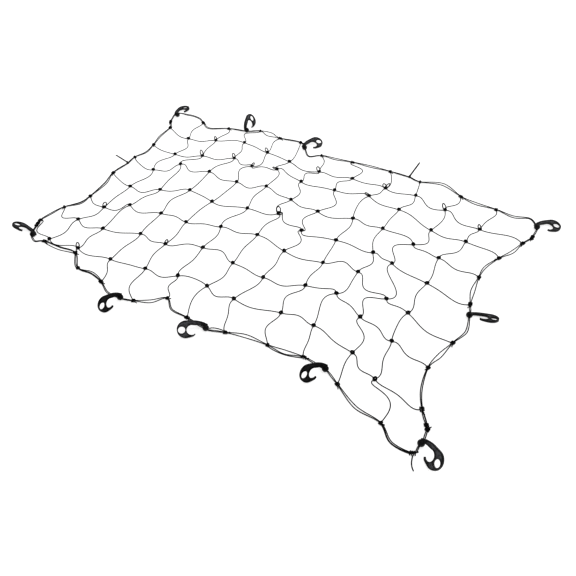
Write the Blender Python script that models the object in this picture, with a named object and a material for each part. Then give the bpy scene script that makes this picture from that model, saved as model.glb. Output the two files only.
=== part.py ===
"""Elastic cargo net with a doubled border cord and ten hooks, spread out slack on a floor.

The net's field is one knotted piece, twelve meshes by eight. The border is four doubled cords, each
of which runs through the eyes of the hooks on it. Lengths are metres, +Z is up, the floor is z = 0,
and the tables give places in centimetres from the middle of the even grid.
"""

import math
from typing import NamedTuple

import bmesh
import bpy
import numpy as np
from mathutils import Matrix, Vector

CM = 0.01
MM = 0.001

# Driving sizes
STRAND_CUT = 0.152  # cord between two knots, pulled straight: six inches
LIE = 0.94  # how much of that a slack mesh spans
PITCH = STRAND_CUT * LIE
ACROSS = 12  # meshes along X
DOWN = 8  # meshes along Y
CORD = 2.7 * MM  # side of the square section that stands for the round cord
ROUND_CORD = 3.0 * MM  # diameter of the one loose end
KNOT_RADIUS = 6.5 * MM
KNOT_HEIGHT = 7.0 * MM
CROWN = 0.55  # radius of a knot's top, of KNOT_RADIUS
PULL = 1.2  # how far a strand holds a knot's heading, of the way to the next knot
GAP = 0.3 * MM
MIDDLE = Vector((-0.0592, 0.0306, 0.0))  # puts the middle of the whole outline over the origin

# Border cords
SPLAY = math.radians(26)  # each cord of a pair leaves a knot this far off the border's line
PAIR = 3.3 * MM  # between the middles of the two cords where they lie side by side
THREADED = 10.0 * MM  # straight stretch on each side of the middle of an eye
TIED = 4.0 * MM  # and of a cable tie
SPREAD = 0.06  # how far a pair parts halfway between two knots, of the way between them
STEP = 45.0 * MM  # longest run of cord between two corners of it

# Hooks
PLATE = 8.0 * MM
EYE_RADIUS = 11.5 * MM
CHANNEL_RADIUS = 4.2 * MM
CHANNEL_SIDES = 8
CHANNEL_OFF = 6.0 * MM  # from the middle of the eye, so that the cords pass beside the plate
HEAD_CENTRE = (67.5, 0.5)  # mm from the eye, along the hook and towards its claw
HEAD_RADIUS = 30.5
THROAT_CENTRE = (47.5, 4.0)
THROAT_RADIUS = 17.8
HOLE_CENTRE = (81.5, 2.2)
HOLE_RADIUS = 12.5
HOLE_SIDES = 12

# Cable ties
TIE_WIDTH = 4.8 * MM
TIE_BAND = 1.2 * MM
TIE_HEAD = Vector((8.0, 6.5, 5.5)) * MM
TAIL_UP = 0.4  # where a tail leaves its head, of the head's height


class NetRow(NamedTuple):
    """One net line that runs along X: for each of its knots, how far it lies off the even grid, to
    +X and to +Y in cm, and how far the knot is turned, in degrees; and for each of its strands, from
    the left border to the right one, how far its middle sways to +Y, in cm."""

    to_x: tuple
    to_y: tuple
    turned: tuple
    sways: tuple


NET_ROWS = (
    NetRow(
        (2.5, 1, 0, 0, -1.5, 0, 1, 2.5, 1.5, 1.5, 3.5),
        (-7, -2, 3, 1, -0.5, -1, 1.5, 2, 3.5, 0, -5),
        (15, 15, -5, 0, -10, 25, -5, -25, 10, 25, -5),
        (0, -1.5, 0.5, 0.5, 0, -1, -2.5, -1, 0, -2, -3.5, 0),
    ),
    NetRow(
        (5, 3, 3, -0.5, -3.5, -3.5, -2, -1.5, -1, 1, 1),
        (-6.5, -1.5, 4, 2.5, 6, 3, 4.5, 8, 5.5, -0.5, -0.5),
        (5, 20, 20, -60, 60, -20, 5, -30, 0, -15, -5),
        (0, -1, -2, -4, 4, -2, 0.5, -1.5, -0.5, 0, -1, -0.5),
    ),
    NetRow(
        (4, -2, -1, 0, -1, -1, -1.5, -1, -2, -2, -5),
        (-7, 2.5, 4, 3.5, 7, 4, 2.5, 5.5, 5.5, 2.5, 0),
        (30, 45, 5, 5, 0, -15, -20, 20, -5, -60, 0),
        (1, -2.5, -4.5, -2, -3, -1.5, -1.5, -0.5, -2, 0, 1.5, -3),
    ),
    NetRow(
        (3, 2, -0.5, -1.5, 0, -1, -1.5, -1, 0.5, -5, -4),
        (-7.5, -3, 3, 1, 4.5, 8, 3, 4.5, 5, 3, -0.5),
        (5, 10, -5, -15, 10, 55, -65, 10, 25, -30, -10),
        (0.5, -3, -1, 0, 0, 0, -6, 1, 0.5, -1.5, 0, 0.5),
    ),
    NetRow(
        (3, -2.5, -1.5, -3, -3, -1.5, -1.5, 0.5, 0, 0.5, -4.5),
        (-10, -3.5, -1.5, -1, 3.5, 6.5, 3.5, 5, 7, -0.5, -3),
        (5, -25, 5, 0, 25, 5, -10, 10, 0, -60, -25),
        (-0.5, -3, -1.5, 1, 1.5, -2, 0, -0.5, 3, -6, 0.5, -1),
    ),
    NetRow(
        (-1, -2, -0.5, -2, -2, -1, -1, 0.5, -2, -4, -4.5),
        (-7, -6.5, -1.5, -1.5, 4, 2.5, 1.5, 5.5, 7.5, 1.5, -3),
        (-25, 5, 15, -5, 5, 0, 10, 15, -55, -25, 15),
        (-3.5, -1.5, -0.5, -2, 1.5, 2.5, 0.5, -2, -1, 1.5, 2.5, -3),
    ),
    NetRow(
        (-0.5, -2.5, -1, 0, -1, -2.5, -4.5, -0.5, -2, 0.5, -3),
        (-5.5, -6, -4.5, -2, 1, 2, 1.5, 4, 4.5, 0.5, -5.5),
        (-30, -20, 0, 15, 35, -20, -10, 10, 5, -10, -30),
        (-6, -1.5, -0.5, 0.5, -1.5, -0.5, -2, -0.5, 1.5, -1, -2.5, 2.5),
    ),
)
# The strands of each net line that runs along Y, from the back border to the front one: how far the
# middle of each sways to +X, in cm
COLUMN_SWAYS = (
    (-1.5, 2.5, -1.5, 0.5, -0.5, 1, 1.5, 1.5),
    (0, -0.5, -0.5, -1, -2, 0.5, -2, 0),
    (-4.5, 2, -1, 0, -2, 0, -1, 1),
    (0, 0.5, -1.5, -0.5, 0, 0.5, -0.5, -1.5),
    (-0.5, 0, 0, -1, -0.5, 0.5, 1.5, -3),
    (0.5, -4.5, 2, -1, -2, -1, 1, 0),
    (5, -2.5, 3.5, -4, 4.5, 1.5, 0, 2),
    (-0.5, 1, 0.5, 0.5, 0, -0.5, -3, -2),
    (0, 1.5, -0.5, -0.5, 1.5, -0.5, 0, 1),
    (1.5, 0, 2, -4, 1, -4, 3, 0),
    (-1, -1, 2, 0, -1.5, 0.5, -2, 4),
)


class Hook(NamedTuple):
    """How one hook lies: its eye in cm, and in degrees the way it points, how far its claw's side is
    raised, and the way the cords are threaded through its eye."""

    x: float
    y: float
    points: float
    claw_up: float
    thread: float
    claw_left: bool


HOOKS = {
    "front_1": Hook(-26.3, -61.4, -96, -77, 8, True),
    "front_2": Hook(9.4, -58.0, -141, -27, 0, True),
    "front_3": Hook(53.1, -53.0, -121, -64, -12, True),
    "front_right": Hook(89.5, -62.7, -36, -50, 75, False),
    "back_right": Hook(94.4, 49.1, 39, -7, -70, False),
    "right": Hook(85.9, -8.6, 10, 24, -80, False),
    "back_1": Hook(-47.2, 54.6, 104, -54, 20, False),
    "back_2": Hook(-14.7, 54.7, 65, -18, -40, False),
    "back_left": Hook(-86.6, 50.2, 101, 5, 45, False),
    "front_left": Hook(-81.1, -52.2, 179, 29, -62, True),
}


class Station(NamedTuple):
    """One place on the border, in cm, and how far apart its two cords lie there, in mm. The kind is
    knot, line (a knot that holds a net line), eye, tie or bend. An eye also names its hook, and a line
    says how far its stub is turned from straight inwards, in degrees."""

    kind: str
    x: float
    y: float
    apart: float = 0.0
    hook: str = ""
    turned: float = 0.0


def eye(hook):
    """The station at a hook's eye."""
    return Station("eye", HOOKS[hook].x, HOOKS[hook].y, PAIR / MM, hook)


BORDER = {
    "border_back": (
        Station("knot", -86.6, 44.6),
        eye("back_left"),
        Station("bend", -82.0, 54.0, 8),
        Station("bend", -75.5, 53.8, 6),
        Station("line", -71, 51, turned=35),
        Station("bend", -65.5, 48.5, 8),
        Station("line", -56.5, 52.5, turned=35),
        eye("back_1"),
        Station("line", -41.5, 58, turned=-35),
        Station("bend", -36.2, 58.0, 32),
        Station("line", -29.5, 57, turned=-35),
        Station("line", -19, 58.5, turned=30),
        eye("back_2"),
        Station("bend", -10.0, 50.5, 5),
        Station("line", -5, 53.5, turned=35),
        Station("bend", 2.0, 54.5, 12),
        Station("line", 10, 55.5, turned=-35),
        Station("bend", 18.4, 56.7, 12),
        Station("line", 28, 57, turned=35),
        Station("tie", 37.1, 57.3, PAIR / MM),
        Station("line", 42.5, 56, turned=5),
        Station("bend", 51.8, 59.4, 15),
        Station("line", 61.5, 54.5, turned=35),
        Station("bend", 68.3, 53.3, 14),
        Station("line", 77, 53, turned=35),
        Station("bend", 84.5, 52.2, 12),
        Station("bend", 90.6, 54.2, 5),
        eye("back_right"),
        Station("knot", 94.4, 43.4),
    ),
    "border_right": (
        Station("knot", 94.3, 42.0),
        Station("line", 92, 37.5, turned=-20),
        Station("bend", 89.8, 31.0, 12),
        Station("line", 86.5, 25, turned=-30),
        Station("bend", 83.4, 18.0, 8),
        Station("line", 83, 11.5, turned=-35),
        Station("bend", 83.2, 4.0, 14),
        Station("line", 84.5, -3, turned=20),
        eye("right"),
        Station("bend", 87.3, -15.5, 7),
        Station("line", 85, -22.5, turned=15),
        Station("bend", 83.0, -29.5, 14),
        Station("line", 81.5, -36, turned=-35),
        Station("bend", 82.6, -44.5, 5),
        Station("line", 85.5, -51.5, turned=5),
        Station("knot", 88.6, -56.0),
    ),
    "border_front": (
        Station("knot", -84.8, -47.0),
        eye("front_left"),
        Station("bend", -78.2, -54.2, 5),
        Station("line", -74.5, -52.5),
        Station("bend", -66.6, -51.8, 12),
        Station("line", -58.5, -51.5, turned=15),
        Station("knot", -51.4, -57.3),
        Station("bend", -45.1, -56.9, 10),
        Station("line", -38.5, -58.5, turned=35),
        Station("bend", -33.0, -61.2, 5),
        eye("front_1"),
        Station("line", -21.5, -60, turned=35),
        Station("bend", -16.0, -57.0, 14),
        Station("line", -11.5, -53, turned=-10),
        Station("bend", -6.8, -56.4, 5),
        Station("line", 0.5, -57, turned=35),
        eye("front_2"),
        Station("line", 16, -56, turned=35),
        Station("bend", 23.0, -53.7, 14),
        Station("line", 31.5, -53.5, turned=30),
        Station("bend", 38.0, -53.0, 16),
        Station("line", 44.5, -52, turned=35),
        eye("front_3"),
        Station("line", 59, -56, turned=35),
        Station("bend", 67.5, -60.6, 9),
        Station("line", 76.5, -62, turned=15),
        Station("bend", 81.8, -66.2, 5),
        Station("knot", 88.5, -66.5),
        eye("front_right"),
        Station("knot", 89.4, -57.2),
    ),
    "border_left": (
        Station("knot", -85.8, 43.2),
        Station("line", -83, 39.5, turned=-35),
        Station("bend", -82.7, 31.0, 8),
        Station("line", -80.5, 23.5, turned=-35),
        Station("bend", -79.8, 17.0, 7),
        Station("line", -81.5, 11, turned=-35),
        Station("tie", -81.3, 5.6, PAIR / MM),
        Station("line", -82, -3.5, turned=-35),
        Station("bend", -79.8, -11.0, 9),
        Station("line", -79, -21.5, turned=-35),
        Station("bend", -79.5, -27.0, 8),
        Station("line", -83.5, -32.5, turned=-15),
        Station("bend", -85.6, -38.5, 8),
        Station("line", -86, -44, turned=35),
        Station("knot", -85.2, -45.9),
    ),
}
# From a border's own heading to the net, in degrees: the back and the front run to +X, the others to -Y
INWARD = {"border_back": -90, "border_right": -90, "border_front": 90, "border_left": 90}


class CableTie(NamedTuple):
    """The border that a tie holds, the way its tail points and how far that rises, in degrees, and
    the tail's length in mm."""

    border: str
    points: float
    rises: float
    tail: float


TIES = {
    "cable_tie_left": CableTie("border_left", 173, 7, 80),
    "cable_tie_back": CableTie("border_back", 79, 24, 83),
}

# The way of the one loose end, in cm from the knot beside the front right hook
LOOSE_END = ((0.4, -1.2), (0.8, -2.7), (1.4, -3.9), (2.2, -4.8))
LOOSE_END_STEPS = 2  # from each of those places to the next


def flat(angle):
    """The level direction at an angle from +X."""
    return Vector((math.cos(angle), math.sin(angle), 0))


def angle_of(way):
    return math.atan2(way.y, way.x)


def on_floor(x, y):
    """A place on the floor, from cm off the middle of the even grid."""
    return Vector((x, y, 0)) * CM + MIDDLE


def add_object(name, mesh, parent, finish=None):
    """Adds a mesh to the scene, smooth but for its sharp edges, in its parent's frame."""
    if finish:
        mesh.materials.append(finish)
    mesh.shade_smooth()
    mesh.set_sharp_from_angle(angle=math.radians(40))
    part = bpy.data.objects.new(name, mesh)
    part.parent = parent
    bpy.context.scene.collection.objects.link(part)
    return part


def finish_of(part, kind, colour, roughness):
    """A part's own material, of a plain kind with a linear colour."""
    made = bpy.data.materials.new(f"{part}_{kind}")
    made.use_nodes = True
    shader = made.node_tree.nodes["Principled BSDF"]
    shader.inputs["Base Color"].default_value = (*colour, 1)
    shader.inputs["Roughness"].default_value = roughness
    shader.inputs["Metallic"].default_value = 0
    return made


def cord_finish(part):
    return finish_of(part, "elastic_cord", (0.018, 0.018, 0.020), 0.8)


def plastic_finish(part):
    return finish_of(part, "moulded_plastic", (0.022, 0.022, 0.024), 0.42)


class Solid:
    """Corners and faces of one closed piece of cord, gathered before they become a mesh."""

    def __init__(self):
        self.corners = []
        self.faces = []

    def corner(self, place):
        self.corners.append(tuple(place))
        return len(self.corners) - 1

    def ring(self, place, heading):
        """A cord's square section, from the middle of its underside: right foot, left foot, left top
        and right top, as seen looking along its heading."""
        left = flat(heading + math.pi / 2) * CORD / 2
        up = Vector((0, 0, CORD))
        return [self.corner(p) for p in (place - left, place + left, place + left + up, place - left + up)]

    def join(self, ring, other):
        for k in range(4):
            n = (k + 1) % 4
            self.faces.append((ring[k], ring[n], other[n], other[k]))

    def cap_start(self, ring):
        self.faces.append(tuple(reversed(ring)))

    def cap_end(self, ring):
        self.faces.append(tuple(ring))

    def finish(self, name, net):
        mesh = bpy.data.meshes.new(name)
        mesh.from_pydata(self.corners, [], self.faces)
        add_object(name, mesh, net, cord_finish(name))


def met_from_behind(ring):
    """A knot's port in the order that a cord arriving at it has."""
    return [ring[1], ring[0], ring[3], ring[2]]


def add_knot(solid, centre, headings):
    """A knot: a low drum with one square port for each cord, under a domed crown. It returns each
    heading's port."""
    order = sorted(headings, key=lambda heading: heading % math.tau)
    ports = {}
    crown = []
    for k, heading in enumerate(order):
        ports[heading] = solid.ring(centre + flat(heading) * KNOT_RADIUS, heading)
        half = ((order[(k + 1) % len(order)] - heading) % math.tau) / 2
        top = centre + flat(heading + half) * KNOT_RADIUS * CROWN + Vector((0, 0, KNOT_HEIGHT))
        crown.append(solid.corner(top))
    base = []
    for k, heading in enumerate(order):
        right_foot, left_foot, left_top, right_top = ports[heading]
        next_right_foot, _, _, next_right_top = ports[order[(k + 1) % len(order)]]
        base += [right_foot, left_foot]
        solid.faces.append((left_foot, next_right_foot, next_right_top, left_top))
        solid.faces.append((left_top, next_right_top, crown[k]))
        solid.faces.append((right_top, left_top, crown[k], crown[k - 1]))
    solid.faces.append(tuple(reversed(base)))
    solid.faces.append(tuple(crown))
    return ports


class StrandEnd(NamedTuple):
    """One end of a strand: its place, its heading away from the knot there, and the knot's port, or
    no port where it is a cut end."""

    place: Vector
    heading: float
    port: list = None


def end_at(centre, heading, port=None, reach=KNOT_RADIUS):
    return StrandEnd(centre + flat(heading) * reach, heading, port)


def crossing(row, column):
    """The middle of a knot of the net: rows count from the back, columns from the left, both from 1."""
    line = NET_ROWS[row - 1]
    even = Vector(((column - ACROSS / 2) * PITCH, (DOWN / 2 - row) * PITCH, 0))
    return even + on_floor(line.to_x[column - 1], line.to_y[column - 1])


def bow(start, end, sway):
    """The places and headings along a slack strand between two ends: a cubic that leaves one knot
    and meets the other along their headings, its middle swayed to its left, with more steps the more
    it turns."""
    chord = end.place - start.place
    aside = flat(angle_of(chord) + math.pi / 2) * sway * CM * 16
    leave = flat(start.heading) * chord.length * PULL
    meet = flat(end.heading + math.pi) * chord.length * PULL
    turn = leave.angle(chord) + meet.angle(chord)
    steps = 4 + round(turn / math.radians(55))
    found = []
    for step in range(1, steps):
        t = step / steps
        place = start.place + chord * (3 * t**2 - 2 * t**3)
        place += leave * (t**3 - 2 * t**2 + t) + meet * (t**3 - t**2)
        place += aside * t**2 * (1 - t) ** 2
        slope = chord * (6 * t - 6 * t**2)
        slope += leave * (3 * t**2 - 4 * t + 1) + meet * (3 * t**2 - 2 * t)
        slope += aside * 2 * t * (1 - t) * (1 - 2 * t)
        found.append((place, angle_of(slope)))
    return found


def run_strand(solid, start, end, sway):
    """Joins two ends with a strand, and caps an end that has no port."""
    ring = start.port
    if ring is None:
        ring = solid.ring(start.place, start.heading)
        solid.cap_start(ring)
    for place, heading in bow(start, end, sway):
        step = solid.ring(place, heading)
        solid.join(ring, step)
        ring = step
    if end.port:
        solid.join(ring, met_from_behind(end.port))
    else:
        last = solid.ring(end.place, end.heading + math.pi)
        solid.join(ring, last)
        solid.cap_end(last)


def build_field(net, border_knots):
    """The net's field: every inner knot with its four strands. border_knots gives, for each border
    and net line, the knot's middle and the heading of its stub, which the strand stops clear of."""
    solid = Solid()
    ends = {}
    for row in range(1, DOWN):
        for column in range(1, ACROSS):
            turned = math.radians(NET_ROWS[row - 1].turned[column - 1])
            headings = {side: turned + math.radians(side) for side in (0, 90, 180, 270)}
            centre = crossing(row, column)
            ports = add_knot(solid, centre, headings.values())
            for side, heading in headings.items():
                ends[row, column, side] = end_at(centre, heading, ports[heading])
    for row in range(1, DOWN):
        for column in range(1, ACROSS - 1):
            sway = NET_ROWS[row - 1].sways[column]
            run_strand(solid, ends[row, column, 0], ends[row, column + 1, 180], sway)
    for column in range(1, ACROSS):
        for row in range(1, DOWN - 1):
            sway = COLUMN_SWAYS[column - 1][row]
            run_strand(solid, ends[row, column, 270], ends[row + 1, column, 90], sway)
    outer = []
    for row in range(1, DOWN):
        sways = NET_ROWS[row - 1].sways
        outer.append(("border_left", row, ends[row, 1, 180], -sways[0]))
        outer.append(("border_right", row, ends[row, ACROSS - 1, 0], sways[-1]))
    for column in range(1, ACROSS):
        sways = COLUMN_SWAYS[column - 1]
        outer.append(("border_back", column, ends[1, column, 90], -sways[0]))
        outer.append(("border_front", column, ends[DOWN - 1, column, 270], sways[-1]))
    for border, line, end, sway in outer:
        centre, heading = border_knots[border, line]
        run_strand(solid, end, end_at(centre, heading, reach=KNOT_RADIUS + GAP), sway)
    solid.finish("net_field", net)


def arc(centre, radius, start, end, steps):
    """Points of an arc from one angle to another, in degrees."""
    angles = np.radians(np.linspace(start, end, steps + 1))
    return [(centre[0] + radius * math.cos(a), centre[1] + radius * math.sin(a)) for a in angles]


def hook_outline():
    """The plate's outline in mm: out along the shaft's inner edge, round the throat to the tip, back
    round the head, and home along the shaft's outer edge."""
    throat = arc(THROAT_CENTRE, THROAT_RADIUS, -108, 113, 7)
    head = arc(HEAD_CENTRE, HEAD_RADIUS, 104, -95, 8)
    tip = (throat[-1][0] - 1.2, throat[-1][1] + 1.8)
    claw = ((tip[0] + head[0][0]) / 2 - 0.5, (tip[1] + head[0][1]) / 2 + 1.6)
    inner = [(1.0, -5.0), (21.0, -11.0)]
    outer = [(49.0, -29.2), (29.0, -27.4), (8.0, -21.0), (-9.0, -11.5)]
    return inner + throat + [tip, claw] + head + outer


def slab(name, outline, thickness):
    """A flat plate of an outline in mm, extruded either way from z = 0."""
    mesh = bpy.data.meshes.new(name)
    made = bmesh.new()
    face = made.faces.new([made.verts.new((x * MM, y * MM, -thickness / 2)) for x, y in outline])
    raised = bmesh.ops.extrude_face_region(made, geom=[face], use_keep_orig=True)["geom"]
    corners = [item for item in raised if isinstance(item, bmesh.types.BMVert)]
    bmesh.ops.translate(made, verts=corners, vec=(0, 0, thickness))
    bmesh.ops.recalc_face_normals(made, faces=made.faces)
    made.to_mesh(mesh)
    made.free()
    return mesh


def ball(name, radius):
    mesh = bpy.data.meshes.new(name)
    made = bmesh.new()
    bmesh.ops.create_icosphere(made, subdivisions=2, radius=radius)
    made.to_mesh(mesh)
    made.free()
    return mesh


def round_bar(name, radius, length, sides):
    """A round bar along X."""
    mesh = bpy.data.meshes.new(name)
    made = bmesh.new()
    across_x = Matrix.Rotation(math.radians(90), 4, "Y")
    bmesh.ops.create_cone(
        made, cap_ends=True, segments=sides, radius1=radius, radius2=radius, depth=length, matrix=across_x
    )
    made.to_mesh(mesh)
    made.free()
    return mesh


def block(name, low, high):
    """A box between two corners."""
    mesh = bpy.data.meshes.new(name)
    made = bmesh.new()
    low, high = Vector(low), Vector(high)
    size = Matrix.Diagonal((*(high - low), 1))
    bmesh.ops.create_cube(made, size=1, matrix=Matrix.Translation((low + high) / 2) @ size)
    made.to_mesh(mesh)
    made.free()
    return mesh


def combine(part, tool, operation):
    """Cuts a tool from a part, or joins it to it, and keeps the tool out of the model."""
    tool.hide_render = True
    tool.display_type = "WIRE"
    modifier = part.modifiers.new(tool.name, "BOOLEAN")
    modifier.operation = operation
    modifier.object = tool
    modifier.solver = "EXACT"


def lean(hook, rises):
    """A hook's rotation: X along it, Y towards its claw, Z out of its plate."""
    claw_up = math.radians(hook.claw_up)
    side = 1 if hook.claw_left else -1
    level = flat(math.radians(hook.points))
    along = level * math.cos(rises) + Vector((0, 0, math.sin(rises)))
    sideways = flat(math.radians(hook.points + 90 * side))
    above = along.cross(sideways) * side
    claw = sideways * math.cos(claw_up) + above * math.sin(claw_up)
    return Matrix((along, claw, along.cross(claw))).transposed()


def lie(hook):
    """A hook's rotation when both its eye and its plate rest on the floor."""
    halves = (-PLATE / 2, PLATE / 2)
    corners = [Vector((x * MM, y * MM, z)) for z in halves for x, y in hook_outline()]
    low, high = math.radians(-30), math.radians(35)
    for _ in range(30):
        rises = (low + high) / 2
        if min((lean(hook, rises) @ corner).z for corner in corners) < -EYE_RADIUS:
            low = rises
        else:
            high = rises
    return lean(hook, high)


def channel_height(hook):
    """How high the cords' channel through an eye is: under the shaft, or over it where the shaft's
    outer edge is the low one."""
    return EYE_RADIUS + math.copysign(CHANNEL_OFF, hook.claw_up)


def build_hooks(net):
    """The moulded hooks, all of one shape: a flat curled plate with a round hole in its head, and at
    the end of its shaft a rounded eye with a channel that the border's cords run through."""
    hole_outline = arc(HOLE_CENTRE, HOLE_RADIUS, 0, 360, HOLE_SIDES)[:-1]
    hole_mesh = slab("cut_hole", hole_outline, 2 * PLATE)
    ball_mesh = ball("eye", EYE_RADIUS)
    channel_mesh = round_bar("cut_channel", CHANNEL_RADIUS, 4 * EYE_RADIUS, CHANNEL_SIDES)
    for name, hook in HOOKS.items():
        part_name = f"hook_{name}"
        middle = on_floor(hook.x, hook.y) + Vector((0, 0, EYE_RADIUS))
        plate = slab(part_name, hook_outline(), PLATE)
        part = add_object(part_name, plate, net, plastic_finish(part_name))
        part.location = middle
        part.rotation_euler = lie(hook).to_euler()
        combine(part, add_object(f"cut_hole_{name}", hole_mesh, part), "DIFFERENCE")
        combine(part, add_object(f"eye_{name}", ball_mesh, part), "UNION")
        channel = add_object(f"cut_channel_{name}", channel_mesh, net)
        channel.location = (middle.x, middle.y, channel_height(hook))
        channel.rotation_euler = (0, 0, math.radians(hook.thread))
        combine(part, channel, "DIFFERENCE")


class Stop(NamedTuple):
    """A station as the cords meet it: where the middle of their underside is, how far apart they
    lie and which way they head."""

    station: Station
    place: Vector
    heading: float
    apart: float


def facing_end(station):
    """The way from a border's end knot to the neighbouring border's, which it nearly touches."""
    ends = [end for stations in BORDER.values() for end in (stations[0], stations[-1])]
    others = [end for end in ends if end != station]
    other = min(others, key=lambda end: math.dist((end.x, end.y), (station.x, station.y)))
    return on_floor(other.x, other.y) - on_floor(station.x, station.y)


def border_stops(name):
    """The stops of one border. An eye or a tie gives a short straight stretch, of two stops, and the
    two end knots are shifted to just clear the neighbouring borders' knots."""
    stations = BORDER[name]
    places = [on_floor(station.x, station.y) for station in stations]
    for k in (0, len(places) - 1):
        way = facing_end(stations[k])
        places[k] += way / 2 - way.normalized() * (KNOT_RADIUS + GAP / 2)
    stops = []
    for k, (station, place) in enumerate(zip(stations, places)):
        heading = angle_of(places[min(k + 1, len(places) - 1)] - places[max(k - 1, 0)])
        straight = 0
        if station.kind == "eye":
            hook = HOOKS[station.hook]
            heading, straight = math.radians(hook.thread), THREADED
            place.z = channel_height(hook) - CORD / 2
        elif station.kind == "tie":
            straight = TIED
            place.z = TIE_BAND + GAP
        shifts = (-straight, straight) if straight else (0,)
        stops += [
            Stop(station, place + flat(heading) * shift, heading, station.apart * MM) for shift in shifts
        ]
    return stops


def smooth_way(places, k, t):
    """A point of the Catmull-Rom curve between the places k and k + 1."""
    before, start, end, after = (places[min(max(k + d, 0), len(places) - 1)] for d in (-1, 0, 1, 2))
    return (
        start * 2
        + (end - before) * t
        + (before * 2 - start * 5 + end * 4 - after) * t**2
        + (start * 3 - before - end * 3 + after) * t**3
    ) / 2


def way_between(stops, k):
    """The middle line's steps between two stops: place, heading and how far apart the cords lie.
    Between two knots the cords spread, and side by side in an eye they run straight."""
    start, end = stops[k], stops[k + 1]
    if start.station is end.station:
        return []
    length = (end.place - start.place).length
    at_knot = 2 * math.sin(SPLAY) * KNOT_RADIUS
    spread = 0 if "bend" in (start.station.kind, end.station.kind) else SPREAD * length
    places = [stop.place for stop in stops]
    steps = max(1, min(3, round(length / STEP)))
    found = []
    for step in range(1, steps):
        t = step / steps
        place = smooth_way(places, k, t)
        ahead = smooth_way(places, k, t + 0.02) - smooth_way(places, k, t - 0.02)
        place.z = start.place.z + (end.place.z - start.place.z) * t * t * (3 - 2 * t)
        apart = (start.apart or at_knot) * (1 - t) + (end.apart or at_knot) * t
        found.append((place, angle_of(ahead), apart + spread * math.sin(math.pi * t)))
    return found


def step_pair(solid, rings, place, heading, apart):
    """Carries the left and the right cord of a pair on to a place of their middle line."""
    made = []
    for ring, side in zip(rings, (1, -1)):
        step = solid.ring(place + flat(heading + math.pi / 2) * side * apart / 2, heading)
        solid.join(ring, step)
        made.append(step)
    return made


def build_border(name, net):
    """One side's border: a pair of cords that every knot holds, that spreads between knots and that
    runs side by side through each hook's eye. It returns the knots that hold the net's lines."""
    stops = border_stops(name)
    inward = math.radians(INWARD[name])
    solid = Solid()
    line_knots = {}
    rings = []
    for k, stop in enumerate(stops):
        if stop.station.kind in ("knot", "line"):
            arriving = [stop.heading + math.pi - SPLAY, stop.heading + math.pi + SPLAY] if k else []
            leaving = [stop.heading + SPLAY, stop.heading - SPLAY] if k < len(stops) - 1 else []
            if stop.station.kind == "line":
                stub = stop.heading + inward + math.radians(stop.station.turned)
                line_knots[name, len(line_knots) + 1] = (stop.place, stub)
            elif arriving and leaving:
                stub = stop.heading - inward
            else:
                stub = angle_of(facing_end(stop.station))
            ports = add_knot(solid, stop.place, arriving + leaving + [stub])
            solid.cap_end(ports[stub])
            for ring, heading in zip(rings, arriving):
                solid.join(ring, met_from_behind(ports[heading]))
            rings = [ports[heading] for heading in leaving]
        else:
            rings = step_pair(solid, rings, stop.place, stop.heading, stop.apart)
        if k < len(stops) - 1:
            for place, heading, apart in way_between(stops, k):
                rings = step_pair(solid, rings, place, heading, apart)
    solid.finish(name, net)
    return line_knots


def build_tie(name, tie, net):
    """A cable tie: a flat band round the pair of cords, its head on top and its straight tail."""
    start, end = (stop for stop in border_stops(tie.border) if stop.station.kind == "tie")
    middle = (start.place + end.place) / 2
    seat = Vector((middle.x, middle.y, 0))
    top = middle.z + CORD + GAP
    inner = Vector((TIE_WIDTH, (PAIR + CORD) / 2 + GAP, 0))
    outer = Vector((TIE_WIDTH / 2, inner.y + TIE_BAND, 0))
    band = block(name, -outer, outer + Vector((0, 0, top + TIE_BAND)))
    inside = block(f"inside_{name}", Vector((0, 0, TIE_BAND)) - inner, inner + Vector((0, 0, top)))
    part = add_object(name, band, net, finish_of(name, "nylon", (0.015, 0.015, 0.016), 0.35))
    part.location = seat
    part.rotation_euler = (0, 0, start.heading)
    combine(part, add_object(f"cut_{name}", inside, part), "DIFFERENCE")
    head_half = Vector((TIE_HEAD.x / 2, TIE_HEAD.y / 2, 0))
    head = block(f"head_{name}", -head_half, head_half + Vector((0, 0, TIE_HEAD.z)))
    tail_low = Vector((0, -TIE_WIDTH / 2, TAIL_UP * TIE_HEAD.z))
    strip = block(f"tail_{name}", tail_low, tail_low + Vector((tie.tail * MM, TIE_WIDTH, TIE_BAND)))
    for mesh, rises in ((head, 0), (strip, tie.rises)):
        piece = add_object(mesh.name, mesh, net)
        piece.location = seat + Vector((0, 0, top + TIE_BAND / 2))
        piece.rotation_euler = (0, -math.radians(rises), math.radians(tie.points))
        combine(part, piece, "UNION")


def build_loose_end(name, net):
    """The cord's cut end beside the front right hook, lying on the floor."""
    knot = [stop for stop in border_stops("border_front") if stop.station.kind == "knot"][-2]
    stub = knot.heading - math.radians(INWARD["border_front"])
    middle_up = Vector((0, 0, ROUND_CORD / 2))
    places = [knot.place + flat(stub) * (KNOT_RADIUS + GAP)]
    places += [knot.place + Vector((x, y, 0)) * CM for x, y in LOOSE_END]
    steps = range((len(places) - 1) * LOOSE_END_STEPS + 1)
    curve = bpy.data.curves.new(name, "CURVE")
    curve.dimensions = "3D"
    curve.bevel_depth = ROUND_CORD / 2
    curve.bevel_resolution = 2
    curve.use_fill_caps = True
    curve.materials.append(cord_finish(name))
    spline = curve.splines.new("POLY")
    spline.points.add(len(steps) - 1)
    for step, point in zip(steps, spline.points):
        k, part_way = divmod(step, LOOSE_END_STEPS)
        place = smooth_way(places, k, part_way / LOOSE_END_STEPS) + middle_up
        point.co = (*place, 1)
    part = bpy.data.objects.new(name, curve)
    part.parent = net
    bpy.context.scene.collection.objects.link(part)


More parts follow.
